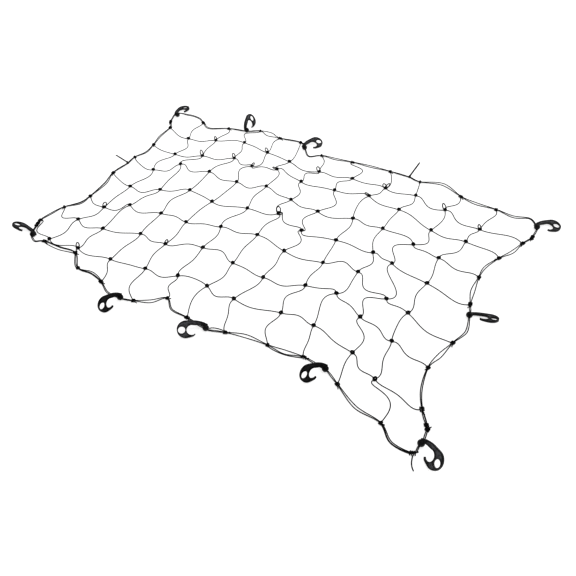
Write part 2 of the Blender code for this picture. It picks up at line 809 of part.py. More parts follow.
def main():
    for thing in list(bpy.data.objects):
        bpy.data.objects.remove(thing)
    net = bpy.data.objects.new("cargo_net", None)
    bpy.context.scene.collection.objects.link(net)
    border_knots = {}
    for name in BORDER:
        border_knots.update(build_border(name, net))
    build_field(net, border_knots)
    build_hooks(net)
    for name, tie in TIES.items():
        build_tie(name, tie, net)
    build_loose_end("loose_end", net)


main()
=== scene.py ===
"""Elastic cargo net with a doubled border cord and ten moulded hooks, dressed for a plain studio.

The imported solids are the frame. Around them this script lays the real cords: each net line is one
round cord that runs from border to border and is tied at every crossing, and each border is a pair of
cords that the net lines are hitched to and that runs through the eyes of the hooks. Lengths are
metres, +Z is up, the floor is z = 0, and the tables give places in centimetres from the middle of
the even grid, as the solids' source does.
"""

from __future__ import annotations

import logging
import math
from dataclasses import dataclass, field
from enum import Enum

import bpy
import numpy as np
from mathutils import Matrix, Vector

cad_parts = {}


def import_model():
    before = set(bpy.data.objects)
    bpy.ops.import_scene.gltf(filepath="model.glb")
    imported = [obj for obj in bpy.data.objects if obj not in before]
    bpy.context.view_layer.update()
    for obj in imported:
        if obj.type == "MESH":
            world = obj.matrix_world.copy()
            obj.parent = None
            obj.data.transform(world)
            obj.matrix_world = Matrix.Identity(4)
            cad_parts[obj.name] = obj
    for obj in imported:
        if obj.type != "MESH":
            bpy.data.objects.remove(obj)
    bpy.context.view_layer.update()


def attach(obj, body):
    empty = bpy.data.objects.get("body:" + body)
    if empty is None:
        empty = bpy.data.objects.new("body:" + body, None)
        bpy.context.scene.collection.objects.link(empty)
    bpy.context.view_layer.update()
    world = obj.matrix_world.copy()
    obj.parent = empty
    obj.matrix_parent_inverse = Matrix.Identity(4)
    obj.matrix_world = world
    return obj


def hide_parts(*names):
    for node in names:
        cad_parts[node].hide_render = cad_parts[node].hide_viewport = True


LOG = logging.getLogger("cargo_net")

CM = 0.01
MM = 0.001
BODY = "root"
RECESS = "recess"  # the attribute that marks the floor of a hook's recess, where its sheen is painted
ROUNDING = np.radians((0, 30, 60, 90))  # the steps in which an edge is rounded
SHARP_EDGE = 25.0  # an edge of a moulding bent more than this many degrees stays sharp

# The net's driving sizes
STRAND_CUT = 0.152  # cord between two knots, pulled straight
LIE = 0.94  # how much of that a slack mesh spans
PITCH = STRAND_CUT * LIE
ACROSS = 12  # meshes along X
DOWN = 8  # meshes along Y
MIDDLE = np.array((-0.0592, 0.0306, 0.0))  # puts the middle of the whole outline over the origin
PULL = 1.2  # how far a strand holds a knot's heading, of the way to the next knot
GAP = 0.3 * MM

# The cord
CORD_RADIUS = 1.7 * MM
CORD_SIDES = 8
CORD_STEP = 7.0 * MM  # between two rings of a cord
# The two smaller rings that round off a cord's end, from the outermost: how far out each stands and
# how wide it is, of the cord's radius
CORD_END = ((0.95, 0.3), (0.55, 0.83))
KNOT_REACH = 6.5 * MM  # from the middle of a knot to where its cords come out
PAIR = 3.5 * MM  # between the two cords of a border where they lie side by side

# The hooks' eyes
EYE_RADIUS = 11.5 * MM
CHANNEL_OFF = 6.0 * MM  # from the middle of the eye, so that the cords pass beside the plate
THREADED = 10.0 * MM  # straight stretch of cord on each side of the middle of an eye

# The cable ties
TIED = 4.0 * MM  # straight stretch of cord on each side of the middle of a tie
TIE_BAND = 1.2 * MM


@dataclass(frozen=True)
class NetRow:
    """One net line that runs along X.

    For each of its knots it says how far that lies off the even grid, to +X and to +Y in cm, and how
    far the knot is turned, in degrees. For each of its strands, from the left border to the right
    one, it says how far its middle sways to +Y, in cm.
    """

    to_x: tuple[float, ...]
    to_y: tuple[float, ...]
    turned: tuple[float, ...]
    sways: tuple[float, ...]


# NET_ROWS, COLUMN_SWAYS and the line stations of BORDER are the output of a least-squares fit to the
# real net's cords, rounded to 0.5 cm and 5 degrees, with 15 of the numbers changed
NET_ROWS = (
    NetRow(
        (2.5, 1, 0, 0, -1.5, 0, 1, 2.5, 1.5, 1.5, 3.5),
        (-7, -2, 3, 1, -0.5, -1, 1.5, 2, 3.5, 0, -5),
        (15, 15, -5, 0, -10, 25, -5, -25, 10, 25, -5),
        (0, -1.5, 0.5, 0.5, 0, -1, -2.5, -1, 0, -2, -3.5, 0),
    ),
    NetRow(
        (5, 3, 3, -0.5, -3.5, -3.5, -2, -1.5, -1, 1, 1),
        (-6.5, -1.5, 4, 2.5, 6, 3, 4.5, 8, 5.5, -0.5, -0.5),
        (5, 20, 20, -60, 60, -20, 5, -30, 0, -15, -5),
        (0, -1, -2, -4, 4, -2, 0.5, -1.5, -0.5, 0, -1, -0.5),
    ),
    NetRow(
        (4, -2, -1, 0, -1, -1, -1.5, -1, -2, -2, -5),
        (-7, 2.5, 4, 3.5, 7, 4, 2.5, 5.5, 5.5, 2.5, 0),
        (30, 45, 5, 5, 0, -15, -20, 20, -5, -60, 0),
        (1, -2.5, -4.5, -2, -3, -1.5, -1.5, -0.5, -2, 0, 1.5, -3),
    ),
    NetRow(
        (3, 2, -0.5, -1.5, 0, -1, -1.5, -1, 0.5, -5, -4),
        (-7.5, -3, 3, 1, 4.5, 8, 3, 4.5, 5, 3, -0.5),
        (5, 10, -5, -15, 10, 55, -65, 10, 25, -30, -10),
        (0.5, -3, -1, 0, 0, 0, -6, 1, 0.5, -1.5, 0, 0.5),
    ),
    NetRow(
        (3, -2.5, -1.5, -3, -3, -1.5, -1.5, 0.5, 0, 0.5, -4.5),
        (-10, -3.5, -1.5, -1, 3.5, 6.5, 3.5, 5, 7, -0.5, -3),
        (5, -25, 5, 0, 25, 5, -10, 10, 0, -60, -25),
        (-0.5, -3, -1.5, 1, 1.5, -2, 0, -0.5, 3, -6, 0.5, -1),
    ),
    NetRow(
        (-1, -2, -0.5, -2, -2, -1, -1, 0.5, -2, -4, -4.5),
        (-7, -6.5, -1.5, -1.5, 4, 2.5, 1.5, 5.5, 7.5, 1.5, -3),
        (-25, 5, 15, -5, 5, 0, 10, 15, -55, -25, 15),
        (-3.5, -1.5, -0.5, -2, 1.5, 2.5, 0.5, -2, -1, 1.5, 2.5, -3),
    ),
    NetRow(
        (-2.5, -2.5, -1, 0, -1, -2.5, -4.5, -0.5, -2, 0.5, -3),
        (-7.5, -6, -4.5, -2, 1, 2, 1.5, 4, 4.5, 0.5, -5.5),
        (-30, -20, 0, 15, 35, -20, -10, 10, 5, -10, -30),
        (-5, -0.8, -0.5, 0.5, -1.5, -0.5, -2, -0.5, 1.5, -1, -2.5, 2.5),
    ),
)
# The strands of each net line that runs along Y, from the back border to the front one: how far the
# middle of each sways to +X, in cm
COLUMN_SWAYS = (
    (-1.5, 2.5, -1.5, 0.5, -0.5, 1, 1.5, 1.5),
    (0, -0.5, -0.5, -1, -2, 0.5, -2, 0),
    (-4.5, 2, -1, 0, -2, 0, -1, 1),
    (0, 0.5, -1.5, -0.5, 0, 0.5, -0.5, -1.5),
    (-0.5, 0, 0, -1, -0.5, 0.5, 1.5, -3),
    (0.5, -4.5, 2, -1, -2, -1, 1, 0),
    (5, -2.5, 3.5, -4, 4.5, 1.5, 0, 2),
    (-0.5, 1, 0.5, 0.5, 0, -0.5, -3, -2),
    (0, 1.5, -0.5, -0.5, 1.5, -0.5, 0, 1),
    (1.5, 0, 2, -4, 1, -4, 3, 0),
    (-1, -1, 2, 0, -1.5, 0.5, -2, 4),
)


@dataclass(frozen=True)
class OpenLoop:
    """A slack loop that stands out of one knot of the net.

    It names the knot by its row from the back and its column from the left, the way the loop points
    in degrees, its length and width in mm, and how steeply it rises in degrees.
    """

    row: int
    column: int
    points: float
    long: float
    wide: float
    rises: float = 20.0


OPEN_LOOPS = (
    OpenLoop(5, 1, 114, 27, 15),
    OpenLoop(4, 6, -32, 27, 23),
    OpenLoop(4, 6, 122, 34, 17),
    OpenLoop(2, 2, 137, 36, 12),
    OpenLoop(6, 4, 100, 22, 11),
    OpenLoop(1, 8, 140, 26, 15),
    OpenLoop(1, 8, 75, 30, 12),
    OpenLoop(2, 8, 178, 24, 12),
    OpenLoop(2, 3, 133, 30, 12),
    OpenLoop(1, 2, 133, 26, 10),
    OpenLoop(1, 4, 140, 30, 12),
    OpenLoop(1, 10, 128, 34, 13),
    OpenLoop(1, 11, 122, 24, 11),
    OpenLoop(7, 2, 134, 28, 12),
    OpenLoop(2, 5, -160, 24, 10),
    OpenLoop(2, 4, 88, 22, 10),
    OpenLoop(1, 6, 136, 30, 14),
)


class Stand(Enum):
    """What holds the border's cords at a station."""

    KNOT = "knot"
    LINE = "line"
    EYE = "eye"
    TIE = "tie"
    BEND = "bend"


@dataclass(frozen=True)
class HookPose:
    """How one hook lies.

    It gives the hook's eye in cm, and in degrees the way it points, how far its claw's side is
    raised and the way the cords are threaded through its eye.
    """

    x: float
    y: float
    points: float
    claw_up: float
    thread: float
    claw_left: bool

    @property
    def channel_height(self) -> float:
        """The middle of the cords' channel: under the shaft, or over it where its outer edge is low."""
        return EYE_RADIUS + math.copysign(CHANNEL_OFF, self.claw_up)


# The hooks' places, turns and tilts come from a fit to the real hooks' outlines, rounded to 1 mm and a
# degree
HOOKS = {
    "front_1": HookPose(-26.3, -61.4, -96, -77, 8, True),
    "front_2": HookPose(9.4, -58.0, -141, -27, 0, True),
    "front_3": HookPose(53.1, -53.0, -121, -64, -12, True),
    "front_right": HookPose(89.5, -62.7, -36, -50, 75, False),
    "back_right": HookPose(94.4, 49.1, 39, -7, -70, False),
    "right": HookPose(85.9, -8.6, 10, 24, -80, False),
    "back_1": HookPose(-47.2, 54.6, 104, -54, 20, False),
    "back_2": HookPose(-14.7, 54.7, 65, -18, -40, False),
    "back_left": HookPose(-86.6, 50.2, 101, 5, 45, False),
    "front_left": HookPose(-81.1, -52.2, 179, 29, -62, True),
}

# These two get a darker copy of the nylon, as painted shade
SHADED_HOOKS = ("front_1", "front_3")


@dataclass(frozen=True)
class Station:
    """One place on a border, in cm, and how far apart its two cords lie there, in mm.

    An eye also names its hook, and a line says how far its stub is turned from straight inwards.
    """

    kind: Stand
    x: float
    y: float
    apart: float = 0.0
    hook: str = ""
    turned: float = 0.0


def knot(x: float, y: float) -> Station:
    """A knot that holds no net line."""
    return Station(Stand.KNOT, x, y)


def line(x: float, y: float, turned: float = 0.0) -> Station:
    """A knot that holds a net line, which leaves it turned by some degrees from straight inwards."""
    return Station(Stand.LINE, x, y, turned=turned)


def eye(hook: str) -> Station:
    """The station at a hook's eye."""
    return Station(Stand.EYE, HOOKS[hook].x, HOOKS[hook].y, PAIR / MM, hook)


def bend(x: float, y: float, apart: float) -> Station:
    """A place where the two cords lie so many mm apart on the floor."""
    return Station(Stand.BEND, x, y, apart)


def tie(x: float, y: float) -> Station:
    """The place of a cable tie."""
    return Station(Stand.TIE, x, y, PAIR / MM)


BORDER = {
    "border_back": (
        knot(-86.6, 44.6),
        eye("back_left"),
        bend(-82.0, 54.0, 8),
        bend(-75.5, 53.8, 6),
        line(-71, 51, 35),
        bend(-65.5, 48.5, 8),
        line(-56.5, 52.5, 35),
        eye("back_1"),
        line(-41.5, 58, -35),
        bend(-36.2, 58.0, 32),
        line(-29.5, 57, -35),
        line(-19, 58.5, 30),
        eye("back_2"),
        bend(-10.0, 50.5, 5),
        line(-5, 53.5, 35),
        bend(2.0, 54.5, 12),
        line(10, 55.5, -35),
        bend(18.4, 56.7, 12),
        line(28, 57, 35),
        tie(37.1, 57.3),
        line(42.5, 56, 5),
        bend(51.8, 59.4, 15),
        line(61.5, 54.5, 35),
        bend(68.3, 53.3, 14),
        line(77, 53, 35),
        bend(84.5, 52.2, 12),
        bend(90.6, 54.2, 5),
        eye("back_right"),
        knot(94.4, 43.4),
    ),
    "border_right": (
        knot(94.3, 42.0),
        line(92, 37.5, -20),
        bend(89.8, 31.0, 12),
        line(86.5, 25, -30),
        bend(83.4, 18.0, 8),
        line(83, 11.5, -35),
        bend(83.2, 4.0, 14),
        line(84.5, -3, 20),
        eye("right"),
        bend(87.3, -15.5, 7),
        line(85, -22.5, 15),
        bend(83.0, -29.5, 14),
        line(81.5, -36, -35),
        bend(82.6, -44.5, 5),
        line(85.5, -51.5, 5),
        knot(88.6, -56.0),
    ),
    "border_front": (
        knot(-84.8, -47.0),
        eye("front_left"),
        bend(-78.2, -54.2, 5),
        line(-74.5, -52.5),
        bend(-66.6, -51.8, 4),
        line(-58.5, -51.5, 15),
        knot(-51.4, -57.3),
        bend(-45.1, -56.9, 4),
        line(-38.5, -58.5, 35),
        bend(-33.0, -61.2, 5),
        eye("front_1"),
        line(-21.5, -60, 35),
        bend(-16.0, -57.0, 14),
        line(-11.5, -53, -10),
        bend(-6.8, -56.4, 5),
        line(0.5, -57, 35),
        eye("front_2"),
        line(16, -56, 35),
        bend(23.0, -53.7, 14),
        line(31.5, -53.5, 30),
        bend(38.0, -53.0, 16),
        line(44.5, -52, 35),
        eye("front_3"),
        line(59, -56, 35),
        bend(67.5, -60.6, 9),
        line(76.5, -62, 15),
        bend(81.8, -66.2, 5),
        knot(88.5, -66.5),
        eye("front_right"),
        knot(89.4, -57.2),
    ),
    "border_left": (
        knot(-85.8, 43.2),
        line(-83, 39.5, -35),
        bend(-82.7, 31.0, 8),
        line(-80.5, 23.5, -35),
        bend(-79.8, 17.0, 7),
        line(-81.5, 11, -35),
        tie(-81.3, 5.6),
        line(-82, -3.5, -35),
        bend(-79.8, -11.0, 9),
        line(-79, -21.5, -35),
        bend(-79.5, -27.0, 8),
        line(-83.5, -32.5, -15),
        bend(-85.6, -38.5, 8),
        line(-86, -44, 35),
        knot(-85.2, -45.9),
    ),
}


@dataclass(frozen=True)
class SlackRun:
    """A third cord that lies slack beside a border's pair, between two of its stations.

    It names the border and its two stations by number, and says how far the cord stands off the
    pair's middle line, to the border's left, in mm.
    """

    border: str
    start: int
    end: int
    off: float


SLACK_RUNS = (
    SlackRun("border_front", 3, 5, -14),
    SlackRun("border_front", 5, 6, -9),
    SlackRun("border_front", 6, 8, 9),
    SlackRun("border_front", 16, 17, 16),
    SlackRun("border_front", 19, 21, -11),
    SlackRun("border_left", 9, 11, -8),
    SlackRun("border_left", 7, 9, -7),
    SlackRun("border_right", 14, 15, 5),
    SlackRun("border_front", 25, 27, -4),
)
# From a border's own heading to the net, in degrees: the back and the front run to +X, the others to -Y
INWARD = {"border_back": -90, "border_right": -90, "border_front": 90, "border_left": 90}

# The way of the one loose end, in cm from the knot beside the front right hook
LOOSE_END = ((0.4, -1.2), (0.8, -2.7), (1.4, -3.9), (2.2, -4.8))


# Directions and curves


def flat(angle: float) -> np.ndarray:
    """The level direction at an angle from +X."""
    return np.array((math.cos(angle), math.sin(angle), 0.0))


def heading_of(way: np.ndarray) -> float:
    """The angle of a way from +X, seen from above."""
    return math.atan2(way[1], way[0])


def on_floor(x: float, y: float) -> np.ndarray:
    """A place on the floor, from cm off the middle of the even grid."""
    return np.array((x, y, 0.0)) * CM + MIDDLE


def upright(height: float) -> np.ndarray:
    """A step straight up."""
    return np.array((0.0, 0.0, height))


def ease(t: np.ndarray) -> np.ndarray:
    """A slow start and a slow end between 0 and 1: three squares less two cubes."""
    return t * t * (3 - 2 * t)


def through(points: np.ndarray, steps: int) -> np.ndarray:
    """The Catmull-Rom curve through some points.

    Between two points it is the cubic whose slope at each of them is half the way from the point
    before it to the point after it.

    Args:
        points: the points, one a row.
        steps: how many steps lie between two points.

    Returns:
        The curve's points, with both ends.
    """
    ends = np.concatenate((points[:1], points, points[-1:]))
    before, start, end, after = (ends[k : len(ends) - 3 + k, None] for k in range(4))
    t = (np.arange(steps) / steps)[None, :, None]
    curve = (
        2 * start
        + (end - before) * t
        + (2 * before - 5 * start + 4 * end - after) * t**2
        + (3 * start - before - 3 * end + after) * t**3
    ) / 2
    return np.concatenate((curve.reshape(-1, 3), points[-1:]))


def measure(path: np.ndarray) -> np.ndarray:
    """How far along its path each point lies."""
    return np.concatenate(([0.0], np.cumsum(np.linalg.norm(np.diff(path, axis=0), axis=1))))


def unit(ways: np.ndarray) -> np.ndarray:
    """Ways brought to length one."""
    return ways / np.linalg.norm(ways, axis=-1, keepdims=True)


# Meshes


@dataclass
class Skin:
    """Points, faces and UVs of one piece, gathered before they become a mesh."""

    points: list[np.ndarray] = field(default_factory=list)
    faces: list[list[int]] = field(default_factory=list)
    uvs: list[np.ndarray] = field(default_factory=list)
    count: int = 0

    def add(self, points: np.ndarray, faces: list[np.ndarray], uvs: list[np.ndarray]) -> None:
        """Adds a closed surface.

        Args:
            points: its points, one a row.
            faces: arrays of faces, one face a row, each array of one number of corners.
            uvs: the same arrays' UVs, two numbers for each corner.
        """
        for block, block_uvs in zip(faces, uvs):
            self.faces += (block + self.count).tolist()
            self.uvs.append(block_uvs.reshape(-1, 2))
        self.points.append(points)
        self.count += len(points)

    def add_grid(self, grid: np.ndarray, wraps: bool, along: np.ndarray | None = None) -> None:
        """Adds a surface that is a grid of rings, each ring closed.

        A face joins the neighbours (i, k), (i + 1, k), (i + 1, k + 1) and (i, k + 1), so it looks
        outwards where the rings turn clockwise as seen from the first one.

        Args:
            grid: the points by ring and by place in the ring.
            wraps: the last ring joins the first one. Otherwise each end is closed with one face.
            along: how far along each ring lies, for the UV map.
        """
        rings, sides, _ = grid.shape
        along = np.arange(rings) / rings if along is None else along
        i, k = np.meshgrid(np.arange(rings if wraps else rings - 1), np.arange(sides), indexing="ij")
        i_next, k_next = (i + 1) % rings, (k + 1) % sides
        corners = np.stack(
            (i * sides + k, i_next * sides + k, i_next * sides + k_next, i * sides + k_next), -1
        ).reshape(-1, 4)
        u = np.stack((k, k, k + 1, k + 1), -1) / sides
        v = np.stack((along[i], along[i_next], along[i_next], along[i]), -1)
        faces, uvs = [corners], [np.stack((u, v), -1)]
        if not wraps:
            ring = np.arange(sides)
            faces += [ring[None], (ring[::-1] + (rings - 1) * sides)[None]]
            uvs += [np.stack((ring / sides, np.full(sides, along[end])), -1) for end in (0, -1)]
        self.add(grid.reshape(-1, 3), faces, uvs)

    def add_cord(self, path: np.ndarray, radius: float = CORD_RADIUS) -> None:
        """Adds a round cord with rounded ends.

        A ring's point is the path's point plus the radius times (cos a sideways + sin a upwards), with
        sideways level and square to the path. Two smaller rings at each end round it off.

        Args:
            path: the cord's middle line.
            radius: half the cord's thickness.
        """
        ways = unit(np.gradient(path, axis=0))
        stands_out, wide = radius * np.array(CORD_END).T
        starts = path[0] - ways[0] * stands_out[:, None]
        finishes = path[-1] + ways[-1] * stands_out[::-1, None]
        path = np.concatenate((starts, path, finishes))
        ways = np.concatenate((np.repeat(ways[:1], 2, 0), ways, np.repeat(ways[-1:], 2, 0)))
        radii = np.full(len(path), radius)
        radii[[0, -1]], radii[[1, -2]] = wide
        sideways = unit(np.cross(ways, (0.0, 0.0, 1.0)))
        upwards = np.cross(sideways, ways)
        angle = np.linspace(0, math.tau, CORD_SIDES, endpoint=False)[None, :, None]
        offsets = np.cos(angle) * sideways[:, None] + np.sin(angle) * upwards[:, None]
        self.add_grid(path[:, None] + offsets * radii[:, None, None], False, measure(path))

    def mesh(self, name: str) -> bpy.types.Mesh:
        """The gathered surfaces as one mesh with a UV map.

        Args:
            name: the mesh's name.

        Returns:
            The mesh.
        """
        made = bpy.data.meshes.new(name)
        made.from_pydata(np.concatenate(self.points).tolist(), [], self.faces)
        uv_map = made.uv_layers.new(name="UVMap")
        uv_map.data.foreach_set("uv", np.concatenate(self.uvs).astype(np.float32).ravel())
        return made


def add_object(name: str, data: bpy.types.ID) -> bpy.types.Object:
    """Puts a new object of a mesh, a lamp or a camera into the scene.

    Args:
        name: the object's name.
        data: what it is made of.

    Returns:
        The object.
    """
    item = bpy.data.objects.new(name, data)
    bpy.context.scene.collection.objects.link(item)
    return item


def place_piece(
    name: str, mesh: bpy.types.Mesh, finish: bpy.types.Material, node: str, sharp: float = 180.0
) -> bpy.types.Object:
    """Puts a finished mesh into the scene, at the origin, in place of a node of the frame.

    Args:
        name: the piece's name.
        mesh: its mesh, in its place.
        finish: its material.
        node: the node that it replaces.
        sharp: edges sharper than this many degrees stay sharp.

    Returns:
        The piece.
    """
    mesh.materials.clear()
    mesh.materials.append(finish)
    mesh.shade_smooth()
    if sharp < 180:
        mesh.set_sharp_from_angle(angle=math.radians(sharp))
    piece = add_object(name, mesh)
    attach(piece, BODY)
    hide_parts(node)
    triangles = sum(len(face.vertices) - 2 for face in mesh.polygons)
    LOG.info("%s: %d triangles, in place of %s", name, triangles, node)
    return piece


# Finishes

COLOURS = {"data_type": "RGBA"}  # makes a Mix node mix colours
FIRST, SECOND, MIXED = 6, 7, 2  # its sockets: the two colours, and the output


def linear(code: str) -> tuple[float, float, float, float]:
    """An sRGB hex colour as linear red, green, blue and alpha.

    Each channel is ((c + 0.055) / 1.055) to the power 2.4, or c / 12.92 where it is nearly black.

    Args:
        code: the colour, such as "#1b1c1e".

    Returns:
        The four linear values.
    """
    channels = (int(code[k : k + 2], 16) / 255 for k in (1, 3, 5))
    return (*(((c + 0.055) / 1.055) ** 2.4 if c > 0.04045 else c / 12.92 for c in channels), 1.0)


def add_node(
    tree: bpy.types.NodeTree, kind: str, settings: dict[str, object], inputs: dict[str | int, object]
) -> bpy.types.Node:
    """Adds a shader node with its settings and links.

    Args:
        tree: the material's nodes.
        kind: the node's type, without the word ShaderNode.
        settings: values of the node's own attributes.
        inputs: for each socket, by name or number, a value or the output that feeds it.

    Returns:
        The node.
    """
    node = tree.nodes.new(f"ShaderNode{kind}")
    for name, value in settings.items():
        setattr(node, name, value)
    for name, value in inputs.items():
        if isinstance(value, bpy.types.NodeSocket):
            tree.links.new(value, node.inputs[name])
        else:
            node.inputs[name].default_value = value
    return node


def begin_material(name: str) -> tuple[bpy.types.Material, bpy.types.NodeTree, bpy.types.Node]:
    """A new material, its nodes and its Principled shader.

    Args:
        name: the material's name.

    Returns:
        The material, its node tree and the shader node.
    """
    material = bpy.data.materials.new(name)
    material.use_nodes = True
    return material, material.node_tree, material.node_tree.nodes["Principled BSDF"]


@dataclass(frozen=True)
class BraidedSheath:
    """Shock cord: rubber strands in a polyester sheath, braided in black.

    The braid gives the eye a matt black thread with fine crossing ribs, with a painted highlight on
    their crowns and painted shade in their furrows, and a faint bloom of lint along its length.
    """

    # painted highlight on the ribs' crowns and painted shade in their furrows
    crown_highlight: str = "#1a1a1c"
    furrow_shade: str = "#060607"
    lint: str = "#242427"
    carriers: int = 6  # ribs round the cord each way
    stitch: float = 3.2 * MM  # one crossing along the cord, drawn at twice the real one so that it shows
    rib: float = 0.18 * MM
    lint_patch: float = 45.0 * MM
    dustiest: float = 0.5  # how much of the lint's colour the dustiest patch takes
    roughness: float = 0.82
    fibre_ior: float = 1.55  # polyester
    gloss: float = 0.15  # the shader's specular level

    def dress(self) -> bpy.types.Material:
        """The material: two crossing families of ribs from the cord's UV map, and lint in patches.

        A rib's height is the sine of the turns round the cord plus, or less, the way along it, and the
        braid's height is the greater of the two families'. It bumps the ribs and paints their colour, from
        painted shade in the furrows to a painted highlight on the crowns.

        Returns:
            The material.
        """
        material, tree, shader = begin_material("braided_sheath")
        place = add_node(tree, "TexCoord", {}, {})
        parts = add_node(tree, "SeparateXYZ", {}, {0: place.outputs["UV"]})
        multiply, sine = {"operation": "MULTIPLY"}, {"operation": "SINE"}
        round_it, along_it = math.tau * self.carriers, math.tau / self.stitch
        around = add_node(tree, "Math", multiply, {0: parts.outputs["X"], 1: round_it}).outputs[0]
        along = add_node(tree, "Math", multiply, {0: parts.outputs["Y"], 1: along_it}).outputs[0]
        ways = [
            add_node(tree, "Math", {"operation": sign}, {0: around, 1: along}).outputs[0]
            for sign in ("ADD", "SUBTRACT")
        ]
        ribs = [add_node(tree, "Math", sine, {0: way}).outputs[0] for way in ways]
        braid = add_node(tree, "Math", {"operation": "MAXIMUM"}, {0: ribs[0], 1: ribs[1]}).outputs[0]
        height = add_node(tree, "MapRange", {}, {"Value": braid, "From Min": -1.0}).outputs["Result"]
        noise = {"Vector": place.outputs["Object"], "Scale": 1 / self.lint_patch, "Detail": 4.0}
        patches = add_node(tree, "TexNoise", {}, noise).outputs["Fac"]
        # painted shade in the furrows, painted highlight on the crowns
        ends = {FIRST: linear(self.furrow_shade), SECOND: linear(self.crown_highlight)}
        sheath = add_node(tree, "Mix", COLOURS, {0: height, **ends}).outputs[MIXED]
        upper_half = {"Value": patches, "From Min": 0.5, "To Max": self.dustiest}
        faint = add_node(tree, "MapRange", {}, upper_half).outputs["Result"]
        dust = {0: faint, FIRST: sheath, SECOND: linear(self.lint)}
        dusty = add_node(tree, "Mix", COLOURS, dust).outputs[MIXED]
        bump = add_node(tree, "Bump", {}, {"Height": height, "Distance": self.rib})
        tree.links.new(dusty, shader.inputs["Base Color"])
        tree.links.new(bump.outputs[0], shader.inputs["Normal"])
        shader.inputs["Roughness"].default_value = self.roughness
        shader.inputs["IOR"].default_value = self.fibre_ior
        shader.inputs["Specular IOR Level"].default_value = self.gloss
        return material


@dataclass(frozen=True)
class MouldedNylon:
    """Injection-moulded nylon, coloured black in the melt.

    A spark-eroded mould gives it a fine even grain and faint flow marks that make some patches a shade
    smoother. The grey sheen of a recess's floor is painted into its colour, lighter where the marks are
    smoother.
    """

    name: str = "moulded_nylon"
    body: str = "#121213"
    floor: str = "#75767a"  # a recess's floor, painted grey as painted sheen
    flow: str = "#3a3b3e"  # the darker patches of a recess's painted sheen
    grain: float = 0.7 * MM  # drawn three times as coarse as the real grain, so that it shows
    depth: float = 0.05 * MM
    flow_patch: float = 9.0 * MM
    flow_curl: float = 1.2  # how far the marks are drawn out into swirls
    flow_edge: tuple[float, float] = (0.35, 0.65)  # the noise's values between which a mark fades in
    smooth: float = 0.34
    rough: float = 0.52
    ior: float = 1.53
    gloss: float = 0.28  # the shader's specular level

    def dress(self) -> bpy.types.Material:
        """The material: grain as a bump, flow marks in its roughness, and painted sheen in a marked recess.

        Returns:
            The material.
        """
        material, tree, shader = begin_material(self.name)
        place = add_node(tree, "TexCoord", {}, {}).outputs["Object"]
        grain = add_node(tree, "TexNoise", {}, {"Vector": place, "Scale": 1 / self.grain, "Detail": 2.0})
        swirls = {"Scale": 1 / self.flow_patch, "Detail": 3.0, "Distortion": self.flow_curl}
        marks = add_node(tree, "TexNoise", {}, {"Vector": place, **swirls}).outputs["Fac"]
        begins, full = self.flow_edge
        edge = {"Value": marks, "From Min": begins, "From Max": full}
        spread = add_node(tree, "MapRange", {}, edge).outputs["Result"]
        recess = add_node(tree, "Attribute", {"attribute_name": RECESS}, {}).outputs["Fac"]
        # painted sheen in a recess, lighter where the marks are smoother
        greys = {0: spread, FIRST: linear(self.flow), SECOND: linear(self.floor)}
        painted_sheen = add_node(tree, "Mix", COLOURS, greys).outputs[MIXED]
        sides = {0: recess, FIRST: linear(self.body), SECOND: painted_sheen}
        colour = add_node(tree, "Mix", COLOURS, sides).outputs[MIXED]
        sheen = add_node(
            tree, "MapRange", {}, {"Value": spread, "To Min": self.rough, "To Max": self.smooth}
        )
        bump = add_node(tree, "Bump", {}, {"Height": grain.outputs["Fac"], "Distance": self.depth})
        tree.links.new(colour, shader.inputs["Base Color"])
        tree.links.new(sheen.outputs["Result"], shader.inputs["Roughness"])
        tree.links.new(bump.outputs[0], shader.inputs["Normal"])
        shader.inputs["IOR"].default_value = self.ior
        shader.inputs["Specular IOR Level"].default_value = self.gloss
        return material


# The lighter copy, for the hooks that catch more light
HOOK_NYLON = MouldedNylon()
# A darker copy of the same nylon, as painted shade: nearly black all over, recesses and all
SHADED_NYLON = MouldedNylon(
    "shaded_moulded_nylon", body="#060607", flow="#0c0c0d", floor="#1b1b1d", gloss=0.16
)
# From a smoother mould: a shallower and wider grain, and a clearer shine
TIE_NYLON = MouldedNylon(
    "tie_nylon", body="#070708", grain=1.2 * MM, depth=0.02 * MM, smooth=0.26, rough=0.36
)


@dataclass(frozen=True)
class LightTable:
    """A table of opal acrylic, lit from below: an even white that shadows hardly darken."""

    colour: str = "#f7f7f7"
    glow: float = 0.7
    roughness: float = 0.95
    satin: float = 1.5 * MM
    depth: float = 0.03 * MM
    gloss: float = 0.1  # the shader's specular level

    def dress(self) -> bpy.types.Material:
        """The material: white and glowing, with a fine satin face.

        Returns:
            The material.
        """
        material, tree, shader = begin_material("light_table")
        place = add_node(tree, "TexCoord", {}, {}).outputs["Object"]
        satin = add_node(tree, "TexNoise", {}, {"Vector": place, "Scale": 1 / self.satin})
        bump = add_node(tree, "Bump", {}, {"Height": satin.outputs["Fac"], "Distance": self.depth})
        tree.links.new(bump.outputs[0], shader.inputs["Normal"])
        shader.inputs["Base Color"].default_value = linear(self.colour)
        shader.inputs["Roughness"].default_value = self.roughness
        shader.inputs["Specular IOR Level"].default_value = self.gloss
        shader.inputs["Emission Color"].default_value = (1, 1, 1, 1)
        shader.inputs["Emission Strength"].default_value = self.glow
        return material


# The border


@dataclass(frozen=True)
class Stop:
    """A station as the cords meet it: where their middle line is, which way they head and how far
    apart they lie."""

    station: Station
    place: np.ndarray
    heading: float
    apart: float


